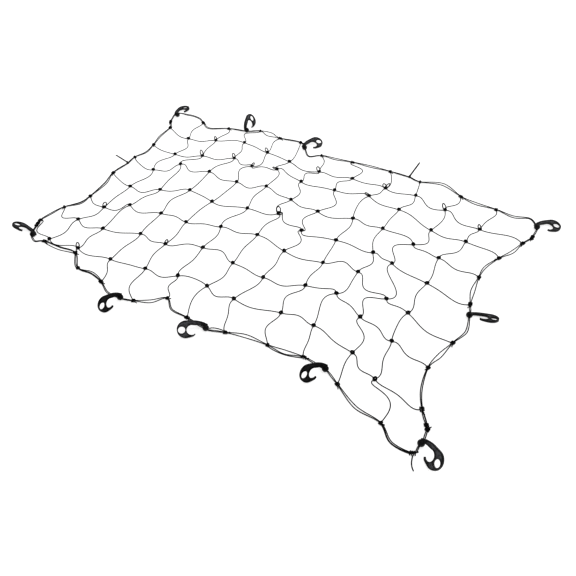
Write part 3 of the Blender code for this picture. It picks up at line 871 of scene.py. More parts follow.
@dataclass
class BorderCord:
    """One side's border: a pair of cords that every knot holds, that parts between the knots and that
    runs side by side through each hook's eye."""

    name: str
    knot_lift: float = 5.3 * MM  # the pair's middle where a hitch passes under it
    knot_apart: float = 2.7 * MM  # the pair in the grip of a knot
    spread: float = 0.035  # how far a pair parts halfway between two knots, of the way between them
    hitch_turns: float = 3.3
    hitch_starts: float = 0.08  # of a turn
    hitch_long: float = 12.5 * MM
    hitch_varies: float = 0.4  # how much longer or shorter than that a hitch is
    hitch_half_wide: float = 6.8 * MM
    hitch_half_high: float = 3.6 * MM
    hitch_steps: int = 30
    tail: float = 8.0 * MM  # the cut end that a hitch leaves beside the pair
    tail_bends: float = 0.55  # where it bends, of its length
    tail_off: tuple[float, float] = (4.6, 5.6)  # mm off the pair's middle line, at its bend and its end
    fewest_steps: int = 3  # between two stops

    def facing_end(self, station: Station) -> np.ndarray:
        """The way from a border's end knot to the neighbouring border's, which it nearly touches.

        Args:
            station: the end knot's station.

        Returns:
            The way between the two knots' middles.
        """
        ends = [end for stations in BORDER.values() for end in (stations[0], stations[-1])]
        others = [end for end in ends if end != station]
        other = min(others, key=lambda end: math.dist((end.x, end.y), (station.x, station.y)))
        return on_floor(other.x, other.y) - on_floor(station.x, station.y)

    def stops(self) -> list[Stop]:
        """The border's stops.

        An eye or a tie gives a short straight stretch, of two stops, and the two end knots are
        shifted to just clear the neighbouring borders' knots.

        Returns:
            The stops, in the border's order.
        """
        stations = BORDER[self.name]
        places = [on_floor(station.x, station.y) for station in stations]
        for k in (0, len(places) - 1):
            way = self.facing_end(stations[k])
            places[k] += way / 2 - unit(way) * (KNOT_REACH + GAP / 2)
        found: list[Stop] = []
        for k, (station, place) in enumerate(zip(stations, places)):
            heading = heading_of(places[min(k + 1, len(places) - 1)] - places[max(k - 1, 0)])
            straight, height, apart = 0.0, CORD_RADIUS, station.apart * MM
            if station.kind is Stand.EYE:
                hook = HOOKS[station.hook]
                heading, straight, height = math.radians(hook.thread), THREADED, hook.channel_height
            elif station.kind is Stand.TIE:
                straight, height = TIED, TIE_BAND + GAP + CORD_RADIUS
            elif station.kind is not Stand.BEND:
                height, apart = self.knot_lift, self.knot_apart
            middle = place + upright(height)
            for shift in (-straight, straight) if straight else (0.0,):
                found.append(Stop(station, middle + flat(heading) * shift, heading, apart))
        return found

    def stub_heading(self, stop: Stop) -> float:
        """The way that a net line leaves its knot on the border, or a plain knot's cut end does.

        Args:
            stop: the knot's stop.

        Returns:
            The heading, in radians.
        """
        inward = math.radians(INWARD[self.name])
        if stop.station.kind is Stand.LINE:
            return stop.heading + inward + math.radians(stop.station.turned)
        return stop.heading - inward

    def line_ends(self) -> list[tuple[np.ndarray, float]]:
        """Where the net lines leave this border.

        Returns:
            For each line in order, the middle of its knot on the floor and its stub's heading.
        """
        return [
            (stop.place * (1, 1, 0), self.stub_heading(stop))
            for stop in self.stops()
            if stop.station.kind is Stand.LINE
        ]

    def middle_line(self, stops: list[Stop]) -> tuple[np.ndarray, np.ndarray]:
        """The pair's middle line and how far apart the two cords lie along it.

        Seen from above it is the smooth curve through the stops, its height eases from stop to stop,
        and so does the distance between the cords, with a bulge between two knots that follows the
        square of a half sine.

        Args:
            stops: the border's stops.

        Returns:
            The line's points, and the distance at each of them.
        """
        places = np.array([stop.place for stop in stops])
        parts, aparts = [], []
        for k, (start, end) in enumerate(zip(stops, stops[1:])):
            length = float(np.linalg.norm(end.place - start.place))
            steps = max(self.fewest_steps, round(length / CORD_STEP))
            t = np.arange(steps) / steps
            if start.station is end.station:
                way = start.place + (end.place - start.place) * t[:, None]
            else:
                around = places[[max(k - 1, 0), k, k + 1, min(k + 2, len(places) - 1)]]
                way = through(around, steps)[steps : 2 * steps]
                way[:, 2] = start.place[2] + (end.place[2] - start.place[2]) * ease(t)
            kinds = (start.station.kind, end.station.kind)
            bulge = 0.0 if Stand.BEND in kinds or start.station is end.station else self.spread * length
            parts.append(way)
            aparts.append(
                start.apart + (end.apart - start.apart) * ease(t) + bulge * np.sin(math.pi * t) ** 2
            )
        ends = [self.facing_end(stops[k].station) for k in (0, -1)]
        reach = [unit(way) * KNOT_REACH for way in ends]
        middle = np.concatenate([places[:1] + reach[0], *parts, places[-1:], places[-1:] + reach[1]])
        first, last = stops[0].apart, stops[-1].apart
        return middle, np.concatenate([[first], *aparts, [last, last]])

    def hitch(self, stop: Stop, number: int) -> np.ndarray:
        """The turns that a net line, or a plain knot's cut end, takes round the pair.

        It is a helix round the border's own line, flattened: across is the half width times the
        cosine of the turn, and up is the middle's height less the half height times its sine.

        Args:
            stop: the knot's stop.
            number: the knot's number along the border, which varies its tail.

        Returns:
            The hitching cord's points.
        """
        stub = self.stub_heading(stop)
        side = math.copysign(1.0, math.sin(stub - stop.heading))
        ahead, left = flat(stop.heading), flat(stop.heading + math.pi / 2)
        long = self.hitch_long * (1 + self.hitch_varies * (number * 2 % 3 - 1))
        s = np.linspace(0, 1, self.hitch_steps + 1)[:, None]
        turn = math.tau * (self.hitch_starts + self.hitch_turns * s)
        helix = (
            stop.place
            + ahead * (s - 0.5) * long
            + left * side * self.hitch_half_wide * np.cos(turn)
            - upright(1.0) * self.hitch_half_high * np.sin(turn)
        )
        floor = stop.place * (1, 1, 0) + upright(CORD_RADIUS)
        lies = -side if number % 2 else side
        bend_off, end_off = self.tail_off
        tail = [
            floor + ahead * (long / 2 + reach * self.tail) + left * lies * off * MM
            for reach, off in ((self.tail_bends, bend_off), (1.0, end_off + number % 3))
        ]
        path = [helix, tail]
        if stop.station.kind is Stand.LINE:
            path.insert(0, [floor + flat(stub) * KNOT_REACH])
        return np.concatenate(path)

    def beside(self, run: SlackRun, middle: np.ndarray, lefts: np.ndarray) -> np.ndarray:
        """A third cord's way beside the pair: off its middle line by the run's distance times the
        root of a half sine, and down on the floor.

        Args:
            run: which stations it runs between, and how far off it lies.
            middle: the pair's middle line.
            lefts: the way to the left at each of its points.

        Returns:
            The cord's points.
        """
        stations = BORDER[run.border]
        ends = [on_floor(stations[k].x, stations[k].y)[:2] for k in (run.start, run.end)]
        first, last = (int(np.linalg.norm(middle[:, :2] - end, axis=1).argmin()) for end in ends)
        t = np.linspace(0, 1, last - first + 1)
        way = middle[first : last + 1] + lefts[first : last + 1] * (
            run.off * MM * np.sqrt(np.sin(math.pi * t))[:, None]
        )
        way[1:-1, 2] = np.minimum(way[1:-1, 2], CORD_RADIUS)
        return way

    def build(self, finish: bpy.types.Material) -> bpy.types.Object:
        """Builds the pair and every knot on it, in place of the border's node.

        Args:
            finish: the cord's material.

        Returns:
            The border's piece.
        """
        skin = Skin()
        stops = self.stops()
        middle, apart = self.middle_line(stops)
        ways = unit(np.gradient(middle, axis=0) * (1, 1, 0))
        lefts = np.stack((-ways[:, 1], ways[:, 0], np.zeros(len(ways))), -1)
        for side in (1, -1):
            skin.add_cord(middle + lefts * side * apart[:, None] / 2)
        for run in SLACK_RUNS:
            if run.border == self.name:
                skin.add_cord(self.beside(run, middle, lefts))
        knots = [stop for stop in stops if stop.station.kind in (Stand.KNOT, Stand.LINE)]
        for number, stop in enumerate(knots):
            skin.add_cord(self.hitch(stop, number))
        return place_piece(f"{self.name}_cords", skin.mesh(self.name), finish, self.name)


# The net


@dataclass(frozen=True)
class StrandEnd:
    """One end of a strand: its place, and its heading away from the knot there."""

    place: np.ndarray
    heading: float


@dataclass
class NetField:
    """The net inside the borders: seven cords along X and eleven along Y, tied where they cross."""

    line_ends: dict[str, list[tuple[np.ndarray, float]]]
    knot_turns: float = 3.0  # how often a cord goes round in a knot
    knot_core: float = 1.2 * MM  # its nearest to the knot's middle
    knot_rise: float = 5.4 * MM  # its highest over where it lies on the floor
    knot_full: float = 0.7  # the power by which its turns leave its middle: below 1 they soon lie wide
    knot_swells: tuple[float, float] = (0.35, 0.85)  # how much wider its turns lie, from knot to knot
    knot_tall: tuple[float, float] = (0.85, 1.1)  # and how high, of its rise
    knot_long: float = 0.55  # how much longer a knot is than wide
    knot_steps: int = 30
    strand_steps: int = 6  # at least
    loop_full: float = 1.25  # a loop's sheath is slack, so it is fuller than a pulled cord's
    loop_steps: int = 18
    loop_sunk: float = 3.0 * MM  # the part of a loop that lies in its knot
    loop_foot: float = 2.6 * CORD_RADIUS  # how high over the floor a loop leaves its knot
    seed: int = 11

    def centre(self, row: int, column: int) -> np.ndarray:
        """The middle of a knot on the floor.

        Args:
            row: its row from the back, from 1.
            column: its column from the left, from 1.

        Returns:
            The place.
        """
        table = NET_ROWS[row - 1]
        even = np.array(((column - ACROSS / 2) * PITCH, (DOWN / 2 - row) * PITCH, 0.0))
        return even + on_floor(table.to_x[column - 1], table.to_y[column - 1])

    def end(self, row: int, column: int, side: float) -> StrandEnd:
        """Where the strand on one side of a knot leaves it.

        Args:
            row: the knot's row.
            column: the knot's column.
            side: the strand's heading on the even grid, in degrees.

        Returns:
            The strand's end.
        """
        heading = math.radians(NET_ROWS[row - 1].turned[column - 1] + side)
        return StrandEnd(self.centre(row, column) + flat(heading) * KNOT_REACH, heading)

    def border_end(self, border: str, number: int) -> StrandEnd:
        """Where a net line's outer strand meets its knot on a border, by the line's number from 1."""
        centre, heading = self.line_ends[border][number - 1]
        return StrandEnd(centre + flat(heading) * KNOT_REACH, heading)

    def strand(self, start: StrandEnd, end: StrandEnd, sway: float) -> np.ndarray:
        """A slack strand on the floor.

        It is the cubic that leaves one knot and meets the other along their headings, plus sixteen
        times its sway times t squared times (1 - t) squared, to its left.

        Args:
            start: its first end.
            end: its last end.
            sway: how far its middle sways to the left, in cm.

        Returns:
            The strand's points.
        """
        chord = end.place - start.place
        length = float(np.linalg.norm(chord))
        leave = flat(start.heading) * length * PULL
        meet = flat(end.heading + math.pi) * length * PULL
        aside = flat(heading_of(chord) + math.pi / 2) * sway * CM * 16
        t = np.linspace(0, 1, max(self.strand_steps, round(length / CORD_STEP)) + 1)[:, None]
        way = start.place + chord * ease(t) + leave * (t**3 - 2 * t**2 + t) + meet * (t**3 - t**2)
        return way + aside * t**2 * (1 - t) ** 2 + upright(CORD_RADIUS)

    def tied(self, row: int, column: int, arrives: float) -> np.ndarray:
        """One cord's way through a knot.

        It winds in and out again: its angle eases through the knot's turns, its distance from the
        middle falls to the core and grows again as a power of the way left to the middle, its height
        is a half sine of the square root of the way, so that it climbs first, and its turns are
        stretched one way by the square of a half sine.

        Args:
            row: the knot's row.
            column: the knot's column.
            arrives: the side that the cord comes from on the even grid, in degrees.

        Returns:
            The cord's points.
        """
        draw = np.random.default_rng(self.seed + 100 * row + column)  # each knot has its own
        hand = draw.choice((-1, 1))
        swell, tall = draw.uniform(*self.knot_swells), draw.uniform(*self.knot_tall)
        longer = flat(draw.uniform(0, math.pi))
        start = math.radians(NET_ROWS[row - 1].turned[column - 1] + arrives)
        s = np.linspace(0, 1, self.knot_steps + 1)
        angle = start - hand * math.tau * self.knot_turns * (s + ease(s)) / 2
        out = self.knot_core + (KNOT_REACH - self.knot_core) * np.abs(2 * s - 1) ** self.knot_full
        out *= 1 + swell * np.sin(math.pi * s) ** 2
        up = CORD_RADIUS + self.knot_rise * tall * np.sin(math.pi * np.sqrt(s))
        way = np.stack((out * np.cos(angle), out * np.sin(angle), up), -1)
        way += np.outer(way @ longer * self.knot_long * np.sin(math.pi * s) ** 2, longer)
        return self.centre(row, column) + way

    def row_line(self, row: int) -> np.ndarray:
        """The whole cord of one row.

        Args:
            row: the row from the back, from 1.

        Returns:
            The cord's points, from the left border to the right one.
        """
        sways = NET_ROWS[row - 1].sways
        first = self.strand(self.end(row, 1, 180), self.border_end("border_left", row), -sways[0])
        parts = [first[::-1]]
        for column in range(1, ACROSS):
            parts.append(self.tied(row, column, 180)[1:])
            if column < ACROSS - 1:
                ends = self.end(row, column, 0), self.end(row, column + 1, 180)
                parts.append(self.strand(*ends, sways[column])[1:])
        last = self.strand(self.end(row, ACROSS - 1, 0), self.border_end("border_right", row), sways[-1])
        return np.concatenate([*parts, last[1:]])

    def column_line(self, column: int) -> np.ndarray:
        """The whole cord of one column.

        Args:
            column: the column from the left, from 1.

        Returns:
            The cord's points, from the back border to the front one.
        """
        sways = COLUMN_SWAYS[column - 1]
        first = self.strand(self.end(1, column, 90), self.border_end("border_back", column), -sways[0])
        parts = [first[::-1]]
        for row in range(1, DOWN):
            parts.append(self.tied(row, column, 90)[1:])
            if row < DOWN - 1:
                ends = self.end(row, column, 270), self.end(row + 1, column, 90)
                parts.append(self.strand(*ends, sways[row])[1:])
        last = self.strand(
            self.end(DOWN - 1, column, 270), self.border_end("border_front", column), sways[-1]
        )
        return np.concatenate([*parts, last[1:]])

    def loop(self, loop: OpenLoop) -> np.ndarray:
        """A slack loop: an ellipse, out and back, in a plane that leans up from the floor.

        Along is half the length times (1 - cos a), less the part that lies in the knot, and across is
        half the width times the sine of a.

        Args:
            loop: the loop's row of the table.

        Returns:
            The loop's points.
        """
        angle = np.linspace(0, math.tau, self.loop_steps + 1)[:, None]
        heading, rises = math.radians(loop.points), math.radians(loop.rises)
        along = flat(heading) * math.cos(rises) + upright(math.sin(rises))
        across = flat(heading + math.pi / 2)
        out = loop.long * MM * (1 - np.cos(angle)) / 2 - self.loop_sunk
        aside = loop.wide * MM * np.sin(angle) / 2
        foot = self.centre(loop.row, loop.column) + upright(self.loop_foot)
        return foot + along * out + across * aside

    def build(self, finish: bpy.types.Material) -> bpy.types.Object:
        """Builds every net line and open loop, in place of the net's node.

        Args:
            finish: the cord's material.

        Returns:
            The net's piece.
        """
        skin = Skin()
        for row in range(1, DOWN):
            skin.add_cord(self.row_line(row))
        for column in range(1, ACROSS):
            skin.add_cord(self.column_line(column))
        for loop in OPEN_LOOPS:
            skin.add_cord(self.loop(loop), self.loop_full * CORD_RADIUS)
        return place_piece("net_cords", skin.mesh("net_cords"), finish, "net_field")


# The hooks


def arc(centre: tuple[float, float], radius: float, start: float, end: float, steps: int) -> np.ndarray:
    """Points of an arc from one angle to another, in degrees: the centre plus the radius times
    (cos a, sin a)."""
    angle = np.radians(np.linspace(start, end, steps + 1))[:, None]
    return np.array(centre) + radius * np.concatenate((np.cos(angle), np.sin(angle)), 1)


@dataclass
class HookMoulding:
    """A flat curled hook: a plate with rounded edges, a web let in on both faces, a round hole in its
    head, and a ball-shaped eye. Its own frame has X along the hook, Y towards its claw, in mm."""

    plate: float = 8.0
    round_edge: float = 0.9
    web: float = 3.4  # thickness between the two pockets
    rim: float = 2.8  # width of the raised edge round a pocket
    draft: float = 0.5  # how much narrower a pocket is at its bottom
    past: float = 1.0  # how far a cutter stands out of the face it cuts
    # Centres and radii, and for each arc the angles where it starts and ends and its steps
    head_centre: tuple[float, float] = (67.5, 0.5)
    head_radius: float = 30.5
    head_arc: tuple[float, float, int] = (100, -95, 34)
    throat_centre: tuple[float, float] = (47.5, 4.0)
    throat_radius: float = 17.8
    throat_arc: tuple[float, float, int] = (-108, 117, 32)
    hole_centre: tuple[float, float] = (81.5, 2.2)
    hole_radius: float = 12.5
    pocket_head_arc: tuple[float, float, int] = (92, -93, 30)
    pocket_throat_arc: tuple[float, float, int] = (-106, 62, 24)
    # The shaft's edges and the pocket's, from the eye to the throat and from the head to the eye
    inner_edge: tuple[tuple[float, float], ...] = ((1.0, -5.0), (21.0, -11.0))
    outer_edge: tuple[tuple[float, float], ...] = ((49, -29.2), (29, -27.4), (8, -21), (-9, -11.5))
    pocket_inner_edge: tuple[tuple[float, float], ...] = ((13.0, -9.2), (21.0, -13.8))
    pocket_outer_edge: tuple[tuple[float, float], ...] = ((49, -26.4), (29.6, -24.6), (14, -17.6))
    # Round the claw from the inside of its tip: an angle at the throat's middle, and how far from it
    claw_back: tuple[tuple[float, float], ...] = (
        (126, 16.2),
        (127, 19.8),
        (113, 21.4),
        (99, 22.8),
        (80, 25.1),
    )
    edge_steps: int = 5  # between two points of an edge
    circle_sides: int = 40
    ball_ring: float = 84.0  # the ball's last rings, in degrees above and below its middle
    ball_rings: int = 15
    channel_radius: float = 4.2
    channel_flare: float = 1.0  # how much wider the channel is where its mouth ends
    mouth_in: float = 0.62  # where its mouth begins, of the eye's radius
    mouth_out: float = 1.4  # where it ends, of where it begins
    rises: tuple[float, float] = (-30.0, 35.0)  # the least and the most that a hook is raised
    halvings: int = 30  # steps in which its rise is found
    beyond_eye: float = 0.5  # where the recess begins
    near: float = 0.1  # how exactly a recess's floor is told from its walls

    def outline(self) -> np.ndarray:
        """The plate's outline: out along the shaft's inner edge, round the throat to the tip, back
        round the head, and home along the shaft's outer edge.

        Returns:
            The outline's points, clockwise.
        """
        throat = arc(self.throat_centre, self.throat_radius, *self.throat_arc)
        head = arc(self.head_centre, self.head_radius, *self.head_arc)
        spine = [arc(self.throat_centre, radius, at, at, 0)[0] for at, radius in self.claw_back]
        outer = self.smoothed(np.array((head[-1], *self.outer_edge)))[1:]
        crest = np.concatenate((spine[:1], self.smoothed(np.array((*spine[1:], head[0])))[:-1]))
        return np.concatenate((np.array(self.inner_edge), throat, crest, head, outer))

    def smoothed(self, points: np.ndarray) -> np.ndarray:
        """A smooth curve through a few points of the outline."""
        level = np.concatenate((points, np.zeros((len(points), 1))), 1)
        return through(level, self.edge_steps)[:, :2]

    def pocket_outline(self) -> np.ndarray:
        """The pocket's outline, one rim's width inside the plate's, which ends short of the claw's
        tip and of the eye.

        Returns:
            The outline's points, clockwise.
        """
        throat = arc(self.throat_centre, self.throat_radius + self.rim, *self.pocket_throat_arc)
        head = arc(self.head_centre, self.head_radius - self.rim, *self.pocket_head_arc)
        outer = self.smoothed(np.array(self.pocket_outer_edge))
        return np.concatenate((np.array(self.pocket_inner_edge), throat, head, outer))

    def inset(self, outline: np.ndarray, by: float) -> np.ndarray:
        """An outline moved inwards, each point along the mean of its two edges' normals.

        Args:
            outline: the outline, which turns clockwise.
            by: how far it moves, outwards where this is below zero.

        Returns:
            The moved outline.
        """
        edges = unit(np.roll(outline, -1, 0) - outline)
        means = unit(edges + np.roll(edges, 1, 0))
        return outline + by * np.stack((means[:, 1], -means[:, 0]), -1)

    def layers(self, outline: np.ndarray, insets: list[float], heights: list[float]) -> Skin:
        """A closed slab of an outline, built in layers from the lowest.

        Args:
            outline: the outline, which turns clockwise.
            insets: how far each layer is moved inwards.
            heights: each layer's height.

        Returns:
            The slab.
        """
        rings = [
            np.concatenate((self.inset(outline, by), np.full((len(outline), 1), height)), 1)
            for by, height in zip(insets, heights)
        ]
        skin = Skin()
        skin.add_grid(np.array(rings), False)
        return skin

    def turned(self, centre: tuple[float, float], radii: list[float], heights: list[float]) -> Skin:
        """A turned shape that stands on the plate: at each height a circle of the radius given.

        Args:
            centre: its middle.
            radii: the circles' radii.
            heights: the circles' heights, from the lowest.

        Returns:
            The shape.
        """
        circle = arc((0.0, 0.0), 1.0, 0, -360, self.circle_sides)[:-1]
        rings = [
            np.concatenate((np.array(centre) + circle * radius, np.full((len(circle), 1), height)), 1)
            for radius, height in zip(radii, heights)
        ]
        skin = Skin()
        skin.add_grid(np.array(rings), False)
        return skin

    def solid(self, name: str, skin: Skin) -> bpy.types.Object:
        """A scratch object of a skin, for a Boolean."""
        return add_object(name, skin.mesh(name))

    def combined(self, body: bpy.types.Object, tools: list[tuple[bpy.types.Object, str]]) -> bpy.types.Mesh:
        """Carries out Booleans on a scratch object and removes what it used.

        Args:
            body: the object to work on.
            tools: each tool and its operation, in order.

        Returns:
            The resulting mesh.
        """
        for item, operation in tools:
            modifier = body.modifiers.new(item.name, "BOOLEAN")
            modifier.operation, modifier.object, modifier.solver = operation, item, "EXACT"
        graph = bpy.context.evaluated_depsgraph_get()
        mesh = bpy.data.meshes.new_from_object(body.evaluated_get(graph))
        for item in (body, *(item for item, _ in tools)):
            bpy.data.objects.remove(item)
        return mesh

    def blank(self) -> bpy.types.Mesh:
        """Builds the hook without the cords' channel.

        Returns:
            The mesh, the same for all ten, in mm in its own frame.
        """
        half, edge, past = self.plate / 2, self.round_edge, self.past
        insets = edge * (1 - np.cos(ROUNDING))
        heights = half - edge * (1 - np.sin(ROUNDING))
        plate = self.layers(self.outline(), [*insets[::-1], *insets], [*-heights[::-1], *heights])
        body = self.solid("plate", plate)
        tools: list[tuple[bpy.types.Object, str]] = []
        for face in (1, -1):
            levels = sorted((face * self.web / 2, face * (half + past)))
            grows = [self.draft, 0.0] if face > 0 else [0.0, self.draft]
            pocket = self.solid("pocket", self.layers(self.pocket_outline(), grows, levels))
            rim_radius = self.hole_radius + self.rim
            keep = self.turned(self.hole_centre, [rim_radius] * 2, [-self.plate, self.plate])
            cut = self.combined(pocket, [(self.solid("hole_rim", keep), "DIFFERENCE")])
            tools.append((add_object("pocket_cutter", cut), "DIFFERENCE"))
        flare = self.hole_radius + edge
        hole = self.turned(
            self.hole_centre,
            [flare + past, flare, self.hole_radius, self.hole_radius, flare, flare + past],
            [-half - past, -half, edge - half, half - edge, half, half + past],
        )
        tools.append((self.solid("head_hole", hole), "DIFFERENCE"))
        tilt = np.radians(np.linspace(-self.ball_ring, self.ball_ring, self.ball_rings))
        ball = self.turned((0, 0), np.cos(tilt) * EYE_RADIUS / MM, np.sin(tilt) * EYE_RADIUS / MM)
        tools.append((self.solid("ball", ball), "UNION"))
        return self.combined(body, tools)

    def lean(self, pose: HookPose, rises: float) -> Matrix:
        """A hook's rotation: X along it, Y towards its claw, Z out of its plate.

        Args:
            pose: how it lies.
            rises: how far its head is raised, in radians.

        Returns:
            The rotation.
        """
        claw_up = math.radians(pose.claw_up)
        side = 1 if pose.claw_left else -1
        along = Vector(flat(math.radians(pose.points)) * math.cos(rises) + upright(math.sin(rises)))
        sideways = Vector(flat(math.radians(pose.points + 90 * side)))
        above = along.cross(sideways) * side
        claw = sideways * math.cos(claw_up) + above * math.sin(claw_up)
        return Matrix((along, claw, along.cross(claw))).transposed()

    def lie(self, pose: HookPose) -> Matrix:
        """A hook's rotation when both its eye and its plate rest on the floor, found by halving.

        Args:
            pose: how it lies.

        Returns:
            The rotation.
        """
        outline = self.outline()
        half = np.full((len(outline), 1), self.plate / 2)
        corners = np.concatenate((np.concatenate((outline, half), 1), np.concatenate((outline, -half), 1)))
        low, high = (math.radians(angle) for angle in self.rises)
        for _ in range(self.halvings):
            rises = (low + high) / 2
            lowest = (corners @ np.array(self.lean(pose, rises)).T)[:, 2].min() * MM
            low, high = (rises, high) if lowest < -EYE_RADIUS else (low, rises)
        return self.lean(pose, high)

    def mark_recess(self, mesh: bpy.types.Mesh, place: Matrix) -> None:
        """Marks with 1 the points on the floor of a recess, which lie half the web's thickness off
        the plate's middle, beyond the eye.

        Args:
            mesh: the hook's mesh, in its place.
            place: where the hook's own frame is.
        """
        points = np.empty(len(mesh.vertices) * 3)
        mesh.vertices.foreach_get("co", points)
        home = np.array(place.inverted())
        own = points.reshape(-1, 3) @ home[:3, :3].T + home[:3, 3]
        beyond = np.hypot(own[:, 0], own[:, 1]) > EYE_RADIUS / MM + self.beyond_eye
        floor = beyond & (np.abs(np.abs(own[:, 2]) - self.web / 2) < self.near)
        attribute = mesh.attributes.new(RECESS, "FLOAT", "POINT")
        attribute.data.foreach_set("value", floor.astype(np.float32))

    def build(
        self, name: str, pose: HookPose, blank: bpy.types.Mesh, finish: bpy.types.Material
    ) -> bpy.types.Object:
        """Lays one hook in its place and cuts its channel the way its cords run.

        Args:
            name: the hook's name.
            pose: how it lies.
            blank: the hook without its channel.
            finish: its material.

        Returns:
            The hook's piece.
        """
        middle = on_floor(pose.x, pose.y) + upright(EYE_RADIUS)
        place = Matrix.Translation(middle) @ self.lie(pose).to_4x4() @ Matrix.Scale(MM, 4)
        mesh = blank.copy()
        mesh.transform(place)
        body = add_object(name, mesh)
        radius, flare = self.channel_radius, self.channel_flare
        begins = self.mouth_in * EYE_RADIUS / MM
        ends, reach = self.mouth_out * begins, 2 * EYE_RADIUS / MM
        widths = [radius + 3 * flare, radius + flare, radius]
        bore = self.turned(
            (0.0, 0.0), [*widths, *widths[::-1]], [-reach, -ends, -begins, begins, ends, reach]
        )
        channel = self.solid("channel", bore)
        at = (middle[0], middle[1], pose.channel_height)
        turn = Matrix.Rotation(math.radians(pose.thread), 4, "Z") @ Matrix.Rotation(math.pi / 2, 4, "Y")
        channel.data.transform(Matrix.Translation(at) @ turn @ Matrix.Scale(MM, 4))
        cut = self.combined(body, [(channel, "DIFFERENCE")])
        self.mark_recess(cut, place)
        return place_piece(f"{name}_moulding", cut, finish, name, SHARP_EDGE)


# The cable ties


@dataclass
class CableTie:
    """A nylon cable tie: a flat band round the pair of cords, its head on top and a straight ribbed
    tail. The angles are the way the tail points and how far it rises, in degrees."""

    name: str
    border: str
    points: float
    rises: float
    tail: float
    width: float = 6.2 * MM
    head: tuple[float, float, float] = (9.0 * MM, 8.0 * MM, 6.0 * MM)
    head_round: float = 0.8 * MM
    head_square: float = 0.35  # the power that squares its section: 1 would be a circle
    head_sides: int = 24
    tail_up: float = 0.4  # where the tail leaves the head, of the head's height
    tooth: float = 1.6 * MM
    tooth_depth: float = 0.3 * MM
    tooth_wide: float = 0.72  # the toothed part of the tail, of its width
    tip: float = 8.0 * MM  # the end of the tail, which narrows
    tip_narrows: float = 0.67  # by how much of its width
    band_square: float = 0.5
    band_sides: int = 28

    def rounded_box(self, size: np.ndarray, edge: float) -> np.ndarray:
        """A box standing on z = 0 whose upright edges and rims are rounded, as rings from below.

        Each ring is a square circle: cos a and sin a to the power head_square, times the half sizes.

        Args:
            size: its length, width and height.
            edge: the rounding's radius.

        Returns:
            The rings' points.
        """
        angle = -np.linspace(0, math.tau, self.head_sides, endpoint=False)
        waves = np.stack((np.cos(angle), np.sin(angle)), -1)
        round_square = np.sign(waves) * np.abs(waves) ** self.head_square
        inwards, upwards = edge * (1 - np.cos(ROUNDING)), edge * (1 - np.sin(ROUNDING))
        insets = np.concatenate((inwards[::-1], inwards))
        heights = np.concatenate((upwards[::-1], size[2] - upwards))
        rings = round_square[None] * (size[:2] / 2 - insets[:, None])[:, None]
        tall = np.broadcast_to(heights[:, None, None], (*rings.shape[:2], 1))
        return np.concatenate((rings, tall), -1)

    def strip(self, length: float) -> np.ndarray:
        """The tail along +X from the origin: a flat strip whose upper face is cut into teeth, and
        whose tip narrows.

        The upper face's height is a saw: the tooth's depth times the way through the tooth.

        Args:
            length: the tail's length.

        Returns:
            The rings' points.
        """
        count = 2 * round(length / self.tooth)
        x = np.linspace(0, length, count + 1)
        saw = self.tooth_depth * (np.arange(count + 1) % 2)
        narrows = self.tip_narrows * np.clip((x - length + self.tip) / self.tip, 0, 1)
        half = self.width / 2 * (1 - narrows)
        below, above, toothed = np.zeros_like(x), np.full_like(x, TIE_BAND), TIE_BAND - saw
        inner = half * self.tooth_wide
        corners = (
            (-half, above),
            (-inner, toothed),
            (inner, toothed),
            (half, above),
            (half, below),
            (-half, below),
        )
        return np.stack([np.stack((x, across, up), -1) for across, up in corners], 1)

    def band(self, half_wide: float, top: float) -> np.ndarray:
        """The band's rings: a flat section carried round a rounded square that encloses the pair.

        The path is cos a and sin a to the power band_square, times the half width and half height.

        Args:
            half_wide: half the band's width round the pair, at its outside.
            top: the height of its outside.

        Returns:
            The rings' points.
        """
        angle = np.linspace(0, math.tau, self.band_sides, endpoint=False)
        waves = np.stack((np.cos(angle), np.sin(angle)))
        across, up = np.sign(waves) * np.abs(waves) ** self.band_square
        outer = np.stack((half_wide * across, top / 2 * (1 + up)), -1)
        inner = np.stack(((half_wide - TIE_BAND) * across, top / 2 + (top / 2 - TIE_BAND) * up), -1)
        sides = [(outer, -1), (outer, 1), (inner, 1), (inner, -1)]
        return np.stack(
            [np.stack((np.full(len(angle), x * self.width / 2), *ring.T), -1) for ring, x in sides], 1
        )

    def build(self, border: BorderCord, finish: bpy.types.Material) -> bpy.types.Object:
        """Builds the tie round its border, in place of the tie's node.

        Args:
            border: the border that it holds.
            finish: the nylon's material.

        Returns:
            The tie's piece.
        """
        start, end = (stop for stop in border.stops() if stop.station.kind is Stand.TIE)
        middle = (start.place + end.place) / 2
        seat = Matrix.Translation(middle * (1, 1, 0))
        top = middle[2] + CORD_RADIUS + GAP + TIE_BAND
        band = seat @ Matrix.Rotation(start.heading, 4, "Z")
        points = math.radians(self.points)
        head = seat @ Matrix.Translation((0, 0, top - TIE_BAND / 2)) @ Matrix.Rotation(points, 4, "Z")
        leans = Matrix.Rotation(-math.radians(self.rises), 4, "Y")
        tail = head @ leans @ Matrix.Translation((0, 0, self.tail_up * self.head[2]))
        skin = Skin()
        half_wide = PAIR / 2 + CORD_RADIUS + GAP / 2 + TIE_BAND
        for place, rings, wraps in (
            (band, self.band(half_wide, top), True),
            (head, self.rounded_box(np.array(self.head), self.head_round), False),
            (tail, self.strip(self.tail), False),
        ):
            turned = rings @ np.array(place.to_3x3()).T + np.array(place.translation)
            skin.add_grid(turned, wraps)
        mesh = skin.mesh(self.name)
        return place_piece(f"{self.name}_strap", mesh, finish, self.name, SHARP_EDGE)


TIES = (
    CableTie("cable_tie_left", "border_left", 173, 7, 80 * MM),
    CableTie("cable_tie_back", "border_back", 79, 24, 83 * MM),
)


# The loose end


